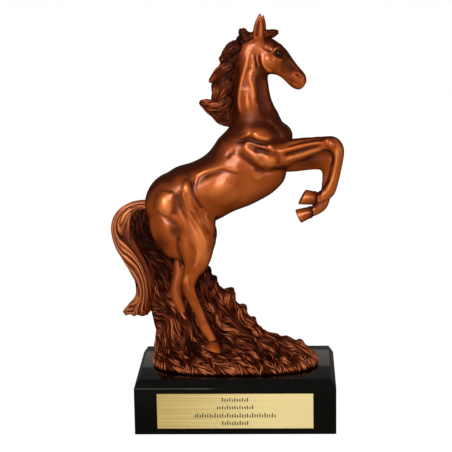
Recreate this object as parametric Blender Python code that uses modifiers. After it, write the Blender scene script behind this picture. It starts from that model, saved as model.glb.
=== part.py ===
"""A horse trophy: a rearing horse cast with its grassy mound, on a polished plinth with a name plate.

Everything is in metres, +Z up. The origin is the middle of the plinth's underside and the plate faces -Y.
The casting is drawn in a side view, as a modeller would draw it: X along the horse, its head at +X, Z up, in
millimetres from the plinth's underside, with Y the distance from the plane of the spine.
"""

import math
import random

import bmesh
import bpy
import numpy as np
from mathutils import Matrix, Vector

# Driving dimensions, in metres
FIGURE_HEIGHT = 0.2305
PLINTH_LENGTH = 0.130
PLINTH_DEPTH = 0.080
PLINTH_HEIGHT = 0.0362
CHAMFER_WIDTH = 0.0033
CHAMFER_HEIGHT = 0.0054
PLATE_THICKNESS = 0.0010
PLATE_FOOT_MARGIN = 0.0045
PLATE_TOP_MARGIN = 0.0030
PLATE_END_MARGIN = 0.0148
STROKE_WIDTH = 0.0007
STROKE_PITCH = 0.0016
STROKE_DEPTH = 0.0002
FIT_GAP = 0.0003

# The drawing: the height of its plinth and of the figure on it, in millimetres
DRAWN_FOOT = 36.5
DRAWN_HEIGHT = 230.5

# Fineness of the cast surface
FLESH_VOXEL = 0.0011
HAIR_VOXEL = 0.0010
CASTING_TRIANGLES = 8800
TUBE_SIDES = 16
STRAND_SIDES = 8
TUFT_SIDES = 6
OVAL_SEGMENTS = 24
STEPS_BETWEEN_STATIONS = 5
STEPS_ALONG_STRAND = 3
LEAST_HALF = 0.4
FLESH_SMOOTHING = 8
HAIR_SMOOTHING = 1

# Rows of strokes on the plate: place as a share of its height from the top, length as a share of its width,
# and the height of a stroke as a share of the plate's height
INSCRIPTION = ((0.17, 0.18, 0.11), (0.39, 0.24, 0.11), (0.62, 0.52, 0.13), (0.84, 0.17, 0.13))
STROKE_HEIGHTS = (1.0, 0.72, 0.72, 0.9, 0.6)

# Stations of the lofted forms: x, y, z, half-thickness in the side view, half-width across the body
TORSO = (
    (-45, 0, 144.5, 15, 13),
    (-33, 0, 148, 20.4, 16.2),
    (-21, 0, 151.3, 20.8, 15.2),
    (-10, 0, 156.8, 20.6, 15.6),
    (0, 0, 162.8, 23, 16.4),
    (9, 0, 170.2, 25.3, 16.6),
    (17, 0, 178, 24, 15.6),
    (24, 0, 184, 17, 13),
    (30, 0, 188, 9, 8),
)
NECK = (
    (14, 0, 189, 18, 13.5),
    (14.5, 0, 197, 16.8, 11.6),
    (13, 0, 204, 14.3, 10),
    (11.8, 0, 211, 12.9, 9),
    (11.2, 0, 220, 12, 8.2),
    (11, 0, 229, 11.3, 7.6),
    (11.6, 0, 238, 10.2, 7),
    (13.5, 0, 246, 8.4, 6),
    (15, 0, 251, 4.6, 4),
)
HEAD = (
    (12, 0, 246, 6.5, 5),
    (18, 0, 243.5, 10, 6.6),
    (23.2, 0, 239.4, 11, 7.2),
    (28.7, 0, 236.2, 9.8, 6.6),
    (33, 0, 232.9, 7.7, 5.2),
    (37, 0, 228.9, 6.6, 4.3),
    (40.7, 0, 224.8, 6.5, 4.4),
    (43.8, 0, 221.9, 5.6, 4.2),
    (46, 0, 220.4, 3, 2.8),
)
NEAR_FORELEG = (
    (14, -8, 186, 12, 6.5),
    (22, -11.5, 179.5, 10.5, 6.5),
    (30, -12, 178.1, 9.4, 6),
    (40, -12, 180.8, 7.9, 5.4),
    (50, -12, 183.4, 6, 4.6),
    (58, -12, 184.9, 4.8, 4.2),
    (63.5, -12, 184.7, 5, 4.4),
    (66.8, -12, 180.6, 4.4, 4.2),
    (66.3, -12, 174, 4.2, 3.4),
    (64.4, -12, 164, 4.1, 3.1),
    (62.6, -12, 157.5, 4.6, 3.5),
    (60.8, -12, 153, 5, 4.1),
    (54.6, -12, 151.2, 3.9, 3.6),
)
FAR_FORELEG = (
    (16, 8, 180, 11, 6),
    (28, 10.5, 170.5, 8, 5.6),
    (38, 11, 168.4, 6.4, 4.8),
    (48, 11, 169, 6, 4.4),
    (57, 11, 170.6, 7.6, 4.6),
    (62, 11, 166, 6, 4.3),
    (60.9, 11, 156, 4.1, 3.3),
    (59.2, 11, 146, 4, 3),
    (56.6, 11, 140, 4.6, 4),
    (51.5, 11, 137.6, 3.7, 3.6),
)
NEAR_HIND_LEG = (
    (-35, -6, 143, 20.5, 10),
    (-33.3, -8, 132.4, 21.9, 10),
    (-29.6, -9.3, 121, 19, 9),
    (-26.4, -10.3, 113, 13.6, 7.6),
    (-25.9, -11, 106, 9.3, 6),
    (-27.7, -11.3, 100, 5.6, 4.8),
    (-29.6, -11.3, 94, 4.7, 4),
    (-30, -11.3, 90, 4.5, 4),
    (-27.8, -11.3, 83, 3.8, 3.3),
    (-24, -11.3, 75, 3.5, 3),
    (-21.4, -11.3, 68.4, 3.7, 3.2),
    (-19.5, -11.3, 63, 4, 3.8),
    (-16.8, -11.3, 57.4, 3.5, 3.6),
)
FAR_HIND_LEG = (
    (-35, 6, 141, 20, 10),
    (-34, 8, 131, 20.5, 9.5),
    (-33, 9.5, 119, 16.5, 8.6),
    (-33.5, 10, 109, 10.5, 7),
    (-36, 9.5, 98, 6, 5),
    (-38.8, 9, 88.5, 4.6, 4.2),
    (-38.6, 8.5, 82.5, 4.4, 3.8),
    (-36, 7, 73, 3.7, 3.2),
    (-33.2, 5, 62, 3.6, 3.2),
    (-31, 3, 54, 4, 3.8),
)
# Hooves: middle of the coronet, middle of the sole, half-length and half-width of the coronet, flare of the
# sole, and the tilt of the sole against the axis in degrees
HOOVES = (
    ((54, -12, 150.8), (43.7, -12, 150), 4.1, 4.2, 1.28, 18),
    ((50.5, 11, 136.8), (39.2, 11, 131.8), 4.3, 4.3, 1.32, 14),
    ((-15.6, -11.3, 55.2), (-13.5, -11.3, 47), 4.1, 4.4, 1.24, -30),
)
# The coronet of a hoof: rings by their share of the way to the sole and their size against the coronet's
CORONET_RINGS = ((-0.12, 0.8), (0, 1), (0.14, 1.06))
NEAR_EAR = ((16.8, -3.8, 246, 2.6, 2.4), (16.9, -4.3, 252, 3.9, 2.6), (17, -4.7, 258, 3.7, 2.3),
            (17.7, -4.9, 263.6, 2.5, 1.8), (18.2, -5, 268, 0.8, 0.8))
FAR_EAR = ((18.6, 3.8, 246, 2.6, 2.4), (19, 4.3, 252, 3.4, 2.5), (19.2, 4.7, 258, 3, 2.2),
           (19.7, 4.9, 262, 2, 1.6), (20, 5, 266, 0.8, 0.8))

# Muscles: centre, half-sizes, and the tilt in the side view in degrees; one on each side of the body
MUSCLES = (
    ((-36.6, -2, 143.4), (21.8, 14.5, 22), 0),
    ((-43, -8.5, 146), (8, 9.4, 9), 0),
    ((-44, -8, 131), (7, 7.6, 11), 20),
    ((-20.6, -8.6, 122.6), (9, 8.4, 11.5), 6),
    ((-6, -5.5, 156), (20, 12, 14), 28),
    ((14, -8, 190), (11, 7.4, 9), -20),
    ((18, -10.5, 177), (11.5, 6.6, 7.6), -24),
    ((30.6, -4.5, 189), (8, 7.5, 7.5), -30),
    ((23.2, -2.4, 237), (8.2, 6, 8.6), 0),
    ((29.6, -4.2, 243.2), (4.6, 3.6, 3.2), -35),
    ((42.6, -2.2, 227), (3.4, 3, 2.8), -40),
)

# Lines carved into both sides of the flesh: depth (negative for a ridge), half-width, points in the side view
CARVING = (
    (1.3, 1.4, ((-25.6, 160), (-25.4, 153), (-22, 147), (-17, 142))),
    (-1.1, 2.2, ((-30, 160.5), (-29.4, 153), (-26, 146), (-21, 141.5))),
    (-1, 2.2, ((-32, 150), (-28, 141), (-24.6, 134), (-20, 127), (-18, 120))),
    (-0.6, 1.6, ((-15, 168), (-21.5, 164.4), (-23.4, 157), (-19.5, 147.5))),
    (0.8, 1.8, ((-14, 170.2), (-6, 172), (4, 170))),
    (1, 1.7, ((-48, 141), (-42, 136.5), (-36.5, 133.5), (-35.5, 139))),
    (-0.8, 2.6, ((-46, 135), (-43.6, 129), (-40, 122))),
    (1.7, 4, ((-37, 131), (-34.6, 125))),
    (1.2, 2, ((-37, 126), (-35.6, 117), (-34, 109))),
    (-0.5, 1, ((-32.6, 102), (-34, 92), (-30.6, 84), (-23.6, 69))),
    (0.6, 1.1, ((-29.6, 103), (-31, 93), (-28.6, 85), (-21.6, 69))),
    (1.6, 1.5, ((1.6, 180), (5, 176), (10.4, 171), (17.4, 167.6), (25, 168), (31, 170))),
    (1.3, 1.4, ((3, 187), (9.4, 189.3), (18.2, 188), (26, 187))),
    (0.9, 1.3, ((11, 184), (16, 182.6), (22, 180.4), (27.6, 175.4), (28.2, 171))),
    (0.8, 1.4, ((27, 195), (24, 190), (19, 186))),
    (0.5, 1, ((32, 177), (42, 180), (54, 183.6))),
    (0.5, 1, ((34, 183), (46, 185.6), (58, 186.6))),
    (-0.6, 1.8, ((9, 236), (6.4, 226), (4.4, 216), (5, 204))),
    (-0.5, 1.6, ((13.2, 234), (11.6, 224), (13.2, 214))),
    (1, 2, ((16.6, 222), (17, 214), (19, 206), (24, 199.6))),
    (0.9, 1.3, ((14.6, 243), (15.4, 236), (18.4, 230.4), (22, 227.6))),
    (0.6, 1, ((26, 240.4), (29.4, 238.4), (32, 239.4))),
    (0.7, 1.1, ((31, 235), (36, 231.4), (40.4, 229.6))),
    (1.1, 0.9, ((41.6, 228.4), (43.4, 226.4))),
    (0.9, 0.7, ((37.4, 223), (41, 221), (44.6, 219.6))),
)

# How soon a carved line reaches its depth as the surface turns to face sideways
CARVING_FADE = 2.2

# The mane: its mass along the crest, under its locks
MANE_BODY = (
    (8, 0, 249, 4, 3),
    (1.6, 0, 243, 4.2, 3.4),
    (-1.6, 0, 236, 4.8, 4.2),
    (-4.2, 0, 228, 5.8, 4.6),
    (-5.6, 0, 219, 6, 4.8),
    (-6.4, 0, 210, 6, 4.6),
    (-5.4, 0, 203, 5, 4.2),
    (-2.6, 0, 197, 3, 3),
)
# Locks of the mane and forelock: points in the side view with the lock's half-thickness there, then its side
MANE_LOCKS = (
    (((11, 250, 3.4), (8, 254.6, 3), (4.6, 259, 1)), 0),
    (((10, 249, 3.4), (5.6, 250.4, 3), (1.8, 252.2, 1)), -1),
    (((9, 246, 4), (2.4, 246, 3.4), (-2.6, 243.6, 2.2), (-6, 240, 0.8)), 0),
    (((8, 241, 4), (0, 241.6, 3.6), (-5.6, 238.6, 2.4), (-9.2, 235.2, 0.8)), 1),
    (((6, 236, 4), (-2, 235.6, 4), (-9.6, 230, 3), (-15.6, 222.8, 0.8)), -1),
    (((5, 231, 4), (-3, 230, 4.4), (-9, 222.6, 3.6), (-12.6, 213.4, 1)), 1),
    (((4, 226, 4), (-3.6, 223, 4.6), (-9.4, 215, 4), (-15, 211.4, 2.6), (-22.2, 210.2, 0.8)), 0),
    (((3, 219, 4), (-3.6, 213.4, 4.6), (-9.6, 208.4, 4), (-16.4, 208, 2.6), (-21.6, 210.2, 0.8)), -1),
    (((3, 212, 4), (-3, 206, 4.4), (-9.6, 203.6, 4.6), (-15.6, 205.6, 3), (-19.6, 208, 1.2)), 1),
    (((4, 206, 4), (-2, 200.6, 4), (-8, 199, 3.6), (-13.6, 202.6, 2)), -1),
    (((4, 201, 4), (-2, 197, 3), (-7, 194.6, 1)), 0),
    (((12, 251, 3.6), (19, 253.4, 3), (25, 252.6, 2.4), (30, 254.6, 1)), -1),
    (((13, 252, 3), (20, 255, 2.6), (26, 254.6, 2), (30.2, 256, 0.8)), 1),
)
LOCK_STRANDS = 4
LOCK_STRAND_RADIUS = 1.5
LOCK_TWIST = 0.8
# Distance of a lock from the plane of the spine: a fixed one and a share of its half-thickness
LOCK_ASIDE = (2.2, 0.35)
LOCK_FLATNESS = 0.9
# A bundle of strands: how many strand radii its core lies inside it, and the share of it that a strand takes
CORE_INSET = 1.1
STRAND_SHARE = 0.6

# The tail as one sweep, which carries strands all round
TAIL = (
    (-52, 0, 143, 3.4, 4),
    (-59, 0, 143.6, 3, 4.4),
    (-65.5, 0, 142.2, 3.4, 5),
    (-70.4, 0, 138.4, 4.8, 5.6),
    (-73.4, 0, 132.6, 6.3, 6),
    (-74, 0, 126, 6.9, 6.4),
    (-71.4, 0, 118, 7.7, 6.6),
    (-67.2, 0, 111, 8.2, 6.8),
    (-62.8, 0, 103, 8.2, 6.8),
    (-60.2, 0, 94, 7.4, 6.6),
    (-59.8, 0, 85, 6.7, 6.2),
    (-61.2, 0, 79, 6.4, 6),
    (-63.6, 0, 73.6, 6.6, 5.6),
    (-65, 0, 70, 5, 4.4),
)
TAIL_STRANDS = 7
TAIL_STRAND_RADIUS = 2.1
TAIL_TWIST = 0.9
TAIL_TIPS = (
    ((-61, -1, 82, 4, 4), (-66.6, -1, 75, 4.4, 3.6), (-73.6, -1, 70.4, 1.8, 1.6)),
    ((-61, 1, 82, 4, 4), (-63.4, 1, 75, 4.6, 4), (-68.4, 1, 68.8, 1.8, 2)),
    ((-60, 0, 80, 4, 4), (-60, 0, 74, 4.6, 4), (-60.4, 0, 69.4, 2.6, 3)),
)

# Level sections of the mound: height, left and right end, near and far edge
MOUND = (
    (30, -55, 54.2, -31.5, 31.5),
    (38.5, -55, 54.2, -31.4, 29),
    (42, -54.2, 51.6, -26, 22),
    (45, -54, 48, -16, 16),
    (48, -54, 43.5, -11, 13),
    (51, -53.6, 34, -8, 12),
    (54, -53, 22, -6, 12),
    (58, -53, 16, -5, 12),
    (64, -54.4, 11, -4.5, 12),
    (70, -56, 6, -4, 12),
    (76, -57, 1, -4, 12),
    (82, -57, -5, -4, 12),
    (88, -56, -12, -4, 12),
    (95, -55, -16, -4, 11),
    (102, -55.4, -20, -3, 10),
    (108, -56.6, -30, -3, 10),
    (116, -60, -42, -3, 8),
    (126, -67.5, -50, -2.6, 6),
    (136, -68, -55, -2, 4),
    (142, -64, -57, -1.6, 3),
)
MOUND_SQUARENESS = 2.5
MOUND_SIDES = 48
TUFT_COUNT = 150
TUFT_LENGTH = 14
TUFT_THICKNESS = 2.4
TUFT_LEAN = 0.35
TUFT_CROWDING = 1.4
TUFT_LENGTHS = (0.6, 1.1)
TUFT_THICKNESSES = (0.7, 1.2)
# A blade of grass at its root, middle and tip: half-thickness and half-width against the tuft's thickness
TUFT_TAPER = ((1, 0.8), (0.8, 0.7), (0.25, 0.25))
TUFT_BOW = 0.4
TUFT_LIFT = 0.5
TUFT_SEED = 11
# Tall tufts along the crest: root and tip in the side view, and thickness at the root, in two rows
CREST_ROWS = (1, 6)
CREST_BOW = 0.6
CREST_TUFTS = (
    ((-21, 96), (-18, 104.6), 3), ((-19, 92), (-15.4, 101.4), 3), ((-17, 88), (-12.8, 96.4), 2.8),
    ((-15, 82), (-12, 90), 2.8), ((-10, 76), (-8.4, 86.4), 3.6), ((-7, 75), (-5, 87.4), 3.6),
    ((-4, 73), (-2, 85.4), 3), ((0, 68), (3, 75.6), 3), ((3, 66), (6.4, 76.8), 3.2),
    ((7, 61), (10, 69.4), 2.8), ((10, 57), (14.2, 65.6), 2.8), ((13, 53), (17, 60), 2.6),
    ((22, 49), (27, 55.4), 2.6), ((28, 48), (33, 55), 2.6), ((37, 46), (43, 52.4), 2.4),
)


def figure_unit():
    """Length of one drawn millimetre, in metres."""
    return FIGURE_HEIGHT / DRAWN_HEIGHT


def placed(x, y, z):
    """The place of a drawn point on the real trophy."""
    unit = figure_unit()
    return Vector((x * unit, y * unit, PLINTH_HEIGHT + FIT_GAP + (z - DRAWN_FOOT) * unit))


def flowing(rows, steps=STEPS_BETWEEN_STATIONS):
    """Catmull-Rom curve through rows of numbers, the first and last rows included."""
    rows = np.array(rows, dtype=float)
    ends = np.vstack([2 * rows[0] - rows[1], rows, 2 * rows[-1] - rows[-2]])
    curve = []
    for i in range(len(rows) - 1):
        a, b, c, d = ends[i:i + 4]
        for t in np.arange(steps) / steps:
            curve.append(0.5 * (2 * b + (c - a) * t + (2 * a - 5 * b + 4 * c - d) * t ** 2
                                + (3 * b - a - 3 * c + d) * t ** 3))
    curve.append(rows[-1])
    return np.array(curve)


def bridge_rings(mesh, rings):
    """Close a run of vertex rings into one tube with capped ends."""
    sides = len(rings[0])
    for low, high in zip(rings, rings[1:]):
        for i in range(sides):
            j = (i + 1) % sides
            mesh.faces.new((low[i], low[j], high[j], high[i]))
    mesh.faces.new(tuple(reversed(rings[0])))
    mesh.faces.new(rings[-1])


def loft(mesh, stations, sides=TUBE_SIDES, steps=STEPS_BETWEEN_STATIONS):
    """Tube of oval sections through stations of x, y, z, half-thickness and half-width."""
    unit = figure_unit()
    rows = flowing(stations, steps)
    tangents = np.gradient(rows[:, :3], axis=0)
    rings = []
    for row, tangent in zip(rows, tangents):
        along = Vector(tangent).normalized()
        thick = Vector((0, 1, 0)).cross(along).normalized()
        wide = along.cross(thick)
        middle = placed(*row[:3])
        ring = []
        for i in range(sides):
            turn = 2 * math.pi * i / sides
            reach = thick * math.cos(turn) * max(row[3], LEAST_HALF)
            reach += wide * math.sin(turn) * max(row[4], LEAST_HALF)
            ring.append(mesh.verts.new(middle + reach * unit))
        rings.append(ring)
    bridge_rings(mesh, rings)


def strand_bundle(mesh, stations, count, radius, twist):
    """A sweep of hair: a core under strands that lie all round it and turn about it by a twist in radians."""
    core = np.array(stations, dtype=float)
    core[:, 3:] = np.maximum(core[:, 3:] - radius * CORE_INSET, LEAST_HALF)
    loft(mesh, core)
    sweep = flowing(stations, STEPS_ALONG_STRAND)
    slope = np.gradient(sweep[:, [0, 2]], axis=0)
    slope /= np.linalg.norm(slope, axis=1)[:, None]
    done = np.linspace(0, 1, len(sweep))
    slim = np.minimum(radius, sweep[:, 3] * STRAND_SHARE)
    for i in range(count):
        turn = 2 * math.pi * i / count + twist * done
        out = np.cos(turn) * (sweep[:, 3] - slim)
        strand = sweep.copy()
        strand[:, 0] -= slope[:, 1] * out
        strand[:, 2] += slope[:, 0] * out
        strand[:, 1] += np.sin(turn) * (sweep[:, 4] - slim)
        strand[:, 3] = slim
        strand[:, 4] = slim
        loft(mesh, strand, STRAND_SIDES, 1)


def oval(mesh, centre, half_sizes, tilt):
    """Ellipsoid, turned in the side view by a tilt in degrees."""
    unit = figure_unit()
    place = Matrix.Translation(placed(*centre)) @ Matrix.Rotation(-math.radians(tilt), 4, "Y")
    size = Matrix.Diagonal((*(half * unit for half in half_sizes), 1))
    bmesh.ops.create_uvsphere(mesh, u_segments=OVAL_SEGMENTS, v_segments=OVAL_SEGMENTS // 2, radius=1,
                              matrix=place @ size)


def hoof(mesh, coronet, sole, half_length, half_width, flare, tilt):
    """Hoof: a cone that widens to a flat sole, the sole tilted in the side view."""
    unit = figure_unit()
    top = placed(*coronet)
    bottom = placed(*sole)
    axis = (bottom - top).normalized()
    across = Vector((0, 1, 0)).cross(axis).normalized()
    rings = []
    for share, grow in (*CORONET_RINGS, (1, flare)):
        lean = Matrix.Rotation(math.radians(tilt) if share == 1 else 0, 3, "Y")
        middle = top.lerp(bottom, share)
        ring = []
        for i in range(TUBE_SIDES):
            angle = 2 * math.pi * i / TUBE_SIDES
            ahead = lean @ across * math.cos(angle) * half_length
            aside = Vector((0, 1, 0)) * math.sin(angle) * half_width
            ring.append(mesh.verts.new(middle + (ahead + aside) * grow * unit))
        rings.append(ring)
    bridge_rings(mesh, rings)


def flesh_forms(mesh):
    """Lofts and muscles of the horse's body, as overlapping closed forms."""
    for stations in (TORSO, NECK, HEAD, NEAR_FORELEG, FAR_FORELEG, NEAR_HIND_LEG, FAR_HIND_LEG,
                     NEAR_EAR, FAR_EAR):
        loft(mesh, stations)
    for centre, half_sizes, tilt in MUSCLES:
        for side in (1, -1):
            oval(mesh, (centre[0], centre[1] * side, centre[2]), half_sizes, tilt)
    for sizes in HOOVES:
        hoof(mesh, *sizes)


def hair_forms(mesh):
    """Locks of the mane and forelock, and the strands of the tail, as overlapping closed forms."""
    loft(mesh, MANE_BODY)
    aside, spread = LOCK_ASIDE
    for points, side in MANE_LOCKS:
        stations = [(x, side * (aside + spread * half), z, half, half * LOCK_FLATNESS)
                    for x, z, half in points]
        strand_bundle(mesh, stations, LOCK_STRANDS, LOCK_STRAND_RADIUS, LOCK_TWIST)
    strand_bundle(mesh, TAIL, TAIL_STRANDS, TAIL_STRAND_RADIUS, TAIL_TWIST)
    for tip in TAIL_TIPS:
        loft(mesh, tip, STRAND_SIDES)


def mound_section(height):
    """Left and right end, near and far edge of the mound at a drawn height."""
    table = np.array(MOUND)
    return [np.interp(height, table[:, 0], table[:, k]) for k in range(1, 5)]


def mound_point(turn, height):
    """Point on the mound's surface, by its turn around the mound and its drawn height."""
    left, right, near, far = mound_section(height)
    power = 2 / MOUND_SQUARENESS
    x = math.copysign(abs(math.cos(turn)) ** power, math.cos(turn))
    y = math.copysign(abs(math.sin(turn)) ** power, math.sin(turn))
    middle = Vector(((left + right) / 2, (near + far) / 2, height))
    return middle + Vector((x * (right - left) / 2, y * (far - near) / 2, 0))


def mound_outward(point, climb):
    """Direction away from the mound's surface at a point on it, where its surface climbs as given."""
    left, right, near, far = mound_section(point.z)
    x = (point.x - (left + right) / 2) / (right - left) ** 2
    y = (point.y - (near + far) / 2) / (far - near) ** 2
    level = Vector((x, y, 0)).normalized()
    return (level * climb.z - Vector((0, 0, climb.dot(level)))).normalized()


def tuft(mesh, root, tip, bow, thickness):
    """Curved blade of grass from its root to its tip, bowed outwards at half its length."""
    middle = (root + tip) / 2 + bow
    stations = [(*point, thickness * thick, thickness * wide)
                for point, (thick, wide) in zip((root, middle, tip), TUFT_TAPER)]
    loft(mesh, stations, TUFT_SIDES)


def scattered_tufts(mesh):
    """Tufts that lie up the mound's slopes, from its rim to its crest."""
    chance = random.Random(TUFT_SEED)
    heights = [DRAWN_FOOT + 1] + [row[0] for row in MOUND[1:]]
    for _ in range(TUFT_COUNT):
        turn = chance.uniform(0, 2 * math.pi)
        reach = TUFT_LENGTH * chance.uniform(*TUFT_LENGTHS)
        slope = np.array([mound_point(turn, height) for height in heights])
        run = np.concatenate([[0], np.cumsum(np.linalg.norm(np.diff(slope, axis=0), axis=1))])
        start = chance.random() ** TUFT_CROWDING * max(run[-1] - reach, 0)
        root, middle, tip = (Vector([np.interp(start + part * reach, run, axis) for axis in slope.T])
                             for part in (0, 0.5, 1))
        outward = mound_outward(root, tip - root)
        lean = (tip - root).cross(outward) * chance.uniform(-1, 1) * TUFT_LEAN
        thickness = TUFT_THICKNESS * chance.uniform(*TUFT_THICKNESSES)
        bow = middle - (root + tip) / 2 + outward * thickness * TUFT_BOW
        tuft(mesh, root, tip + lean + outward * thickness * TUFT_LIFT, bow, thickness)


def mound_forms(mesh):
    """The mound's body and the tufts of grass on it, as overlapping closed forms."""
    turns = [2 * math.pi * i / MOUND_SIDES for i in range(MOUND_SIDES)]
    rings = [[mesh.verts.new(placed(*mound_point(turn, row[0]))) for turn in turns] for row in MOUND]
    bridge_rings(mesh, rings)
    scattered_tufts(mesh)
    for root, tip, thickness in CREST_TUFTS:
        for across in CREST_ROWS:
            start = Vector((root[0], across, root[1]))
            end = Vector((tip[0], across + 1, tip[1]))
            tuft(mesh, start, end, Vector((CREST_BOW, 0, 0)), thickness)


def one_skin(name, build_forms, voxel, smoothing):
    """Fuse overlapping closed forms into one closed skin and smooth it, as a mesh of its own."""
    mesh = bpy.data.meshes.new(name)
    forms = bmesh.new()
    build_forms(forms)
    forms.to_mesh(mesh)
    forms.free()
    return evaluated(mesh, voxel, smoothing)


def evaluated(mesh, voxel, smoothing, triangles=0):
    """The mesh after a voxel remesh, a smoothing and, where triangles are given, a decimation."""
    holder = bpy.data.objects.new(mesh.name, mesh)
    bpy.context.scene.collection.objects.link(holder)
    remesh = holder.modifiers.new("fuse", "REMESH")
    remesh.mode = "VOXEL"
    remesh.voxel_size = voxel
    smooth = holder.modifiers.new("soften", "SMOOTH")
    smooth.iterations = smoothing
    if triangles:
        thin = holder.modifiers.new("thin", "DECIMATE")
        count = 2 * len(holder.evaluated_get(bpy.context.evaluated_depsgraph_get()).data.polygons)
        thin.ratio = min(1, triangles / count)
        thin.use_collapse_triangulate = True
    ready = holder.evaluated_get(bpy.context.evaluated_depsgraph_get())
    result = bpy.data.meshes.new_from_object(ready)
    bpy.data.objects.remove(holder)
    return result


def carve(mesh):
    """Press the carved lines into a skin, on the surfaces that face sideways."""
    unit = figure_unit()
    count = len(mesh.vertices)
    places = np.empty(count * 3)
    mesh.vertices.foreach_get("co", places)
    places = places.reshape(-1, 3)
    normals = np.empty(count * 3)
    mesh.vertices.foreach_get("normal", normals)
    normals = normals.reshape(-1, 3)
    drawn = places[:, [0, 2]] / unit
    drawn[:, 1] += DRAWN_FOOT - (PLINTH_HEIGHT + FIT_GAP) / unit
    press = np.zeros(count)
    facing = np.clip(np.abs(normals[:, 1]) * CARVING_FADE, 0, 1)
    for depth, half_width, points in CARVING:
        line = flowing(points)
        nearest = np.full(count, np.inf)
        for a, b in zip(line, line[1:]):
            run = b - a
            share = np.clip(((drawn - a) @ run) / (run @ run), 0, 1)
            nearest = np.minimum(nearest, np.linalg.norm(drawn - a - share[:, None] * run, axis=1))
        press += depth * facing * np.exp(-(nearest / half_width) ** 2)
    places -= normals * press[:, None] * unit
    mesh.vertices.foreach_set("co", places.ravel())
    mesh.update()


def largest_shell(mesh):
    """Keep only the biggest connected skin of a mesh."""
    work = bmesh.new()
    work.from_mesh(mesh)
    work.verts.ensure_lookup_table()
    unseen = set(work.verts)
    shells = []
    while unseen:
        shell = set()
        waiting = [unseen.pop()]
        while waiting:
            vertex = waiting.pop()
            shell.add(vertex)
            for edge in vertex.link_edges:
                other = edge.other_vert(vertex)
                if other in unseen:
                    unseen.remove(other)
                    waiting.append(other)
        shells.append(shell)
    keep = max(shells, key=len)
    bmesh.ops.delete(work, geom=[v for v in work.verts if v not in keep], context="VERTS")
    work.to_mesh(mesh)
    work.free()


def material(name, colour, roughness, metallic):
    """Principled material of one finish."""
    finish = bpy.data.materials.new(name)
    finish.use_nodes = True
    shader = finish.node_tree.nodes["Principled BSDF"]
    shader.inputs["Base Color"].default_value = (*colour, 1)
    shader.inputs["Roughness"].default_value = roughness
    shader.inputs["Metallic"].default_value = metallic
    return finish


def add_piece(name, mesh, collection, finish):
    """Named object of a sub-part, with its finish."""
    piece = bpy.data.objects.new(name, mesh)
    collection.objects.link(piece)
    mesh.materials.clear()
    mesh.materials.append(finish)
    return piece


def add_box(mesh, low, high):
    """Box between two corners, in metres."""
    middle = [(a + b) / 2 for a, b in zip(low, high)]
    size = [b - a for a, b in zip(low, high)]
    bmesh.ops.create_cube(mesh, size=1, matrix=Matrix.Translation(middle) @ Matrix.Diagonal((*size, 1)))


def cut(piece, name, boxes, collection):
    """Take boxes between two corners each out of a piece."""
    mesh = bpy.data.meshes.new(name)
    shapes = bmesh.new()
    for low, high in boxes:
        add_box(shapes, low, high)
    shapes.to_mesh(mesh)
    shapes.free()
    cutter = bpy.data.objects.new(name, mesh)
    cutter.hide_render = True
    cutter.display_type = "WIRE"
    collection.objects.link(cutter)
    modifier = piece.modifiers.new("cut by " + name, "BOOLEAN")
    modifier.operation = "DIFFERENCE"
    modifier.solver = "EXACT"
    modifier.object = cutter


def build_casting(parts, cutters):
    """The horse, its mane and tail and the mound, cast as one."""
    flesh = one_skin("flesh", flesh_forms, FLESH_VOXEL, FLESH_SMOOTHING)
    carve(flesh)
    hair = one_skin("hair", hair_forms, HAIR_VOXEL, HAIR_SMOOTHING)
    mound = one_skin("mound", mound_forms, HAIR_VOXEL, HAIR_SMOOTHING)
    joined = bmesh.new()
    for skin in (flesh, hair, mound):
        joined.from_mesh(skin)
    mesh = bpy.data.meshes.new("horse_casting")
    joined.to_mesh(mesh)
    joined.free()
    mesh = evaluated(mesh, HAIR_VOXEL, HAIR_SMOOTHING, CASTING_TRIANGLES)
    largest_shell(mesh)
    bronze = material("bronze_resin", (0.33, 0.12, 0.04), 0.3, 0.55)
    casting = add_piece("horse_casting", mesh, parts, bronze)
    seat = PLINTH_HEIGHT + FIT_GAP
    reach = FIGURE_HEIGHT
    below = ((-reach, -reach, seat - reach), (reach, reach, seat))
    cut(casting, "below_the_casting", [below], cutters)


def build_plinth(parts):
    """Polished block with a chamfer around its top."""
    mesh = bpy.data.meshes.new("plinth")
    block = bmesh.new()
    half_length = PLINTH_LENGTH / 2
    half_depth = PLINTH_DEPTH / 2
    add_box(block, (-half_length, -half_depth, 0), (half_length, half_depth, PLINTH_HEIGHT))
    shoulder = PLINTH_HEIGHT - CHAMFER_HEIGHT
    everything = block.verts[:] + block.edges[:] + block.faces[:]
    bmesh.ops.bisect_plane(block, geom=everything, plane_co=(0, 0, shoulder), plane_no=(0, 0, 1))
    for vertex in block.verts:
        if vertex.co.z > shoulder + CHAMFER_HEIGHT / 2:
            vertex.co.x -= math.copysign(CHAMFER_WIDTH, vertex.co.x)
            vertex.co.y -= math.copysign(CHAMFER_WIDTH, vertex.co.y)
    block.to_mesh(mesh)
    block.free()
    add_piece("plinth", mesh, parts, material("black_gloss", (0.01, 0.01, 0.01), 0.08, 0))


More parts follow.
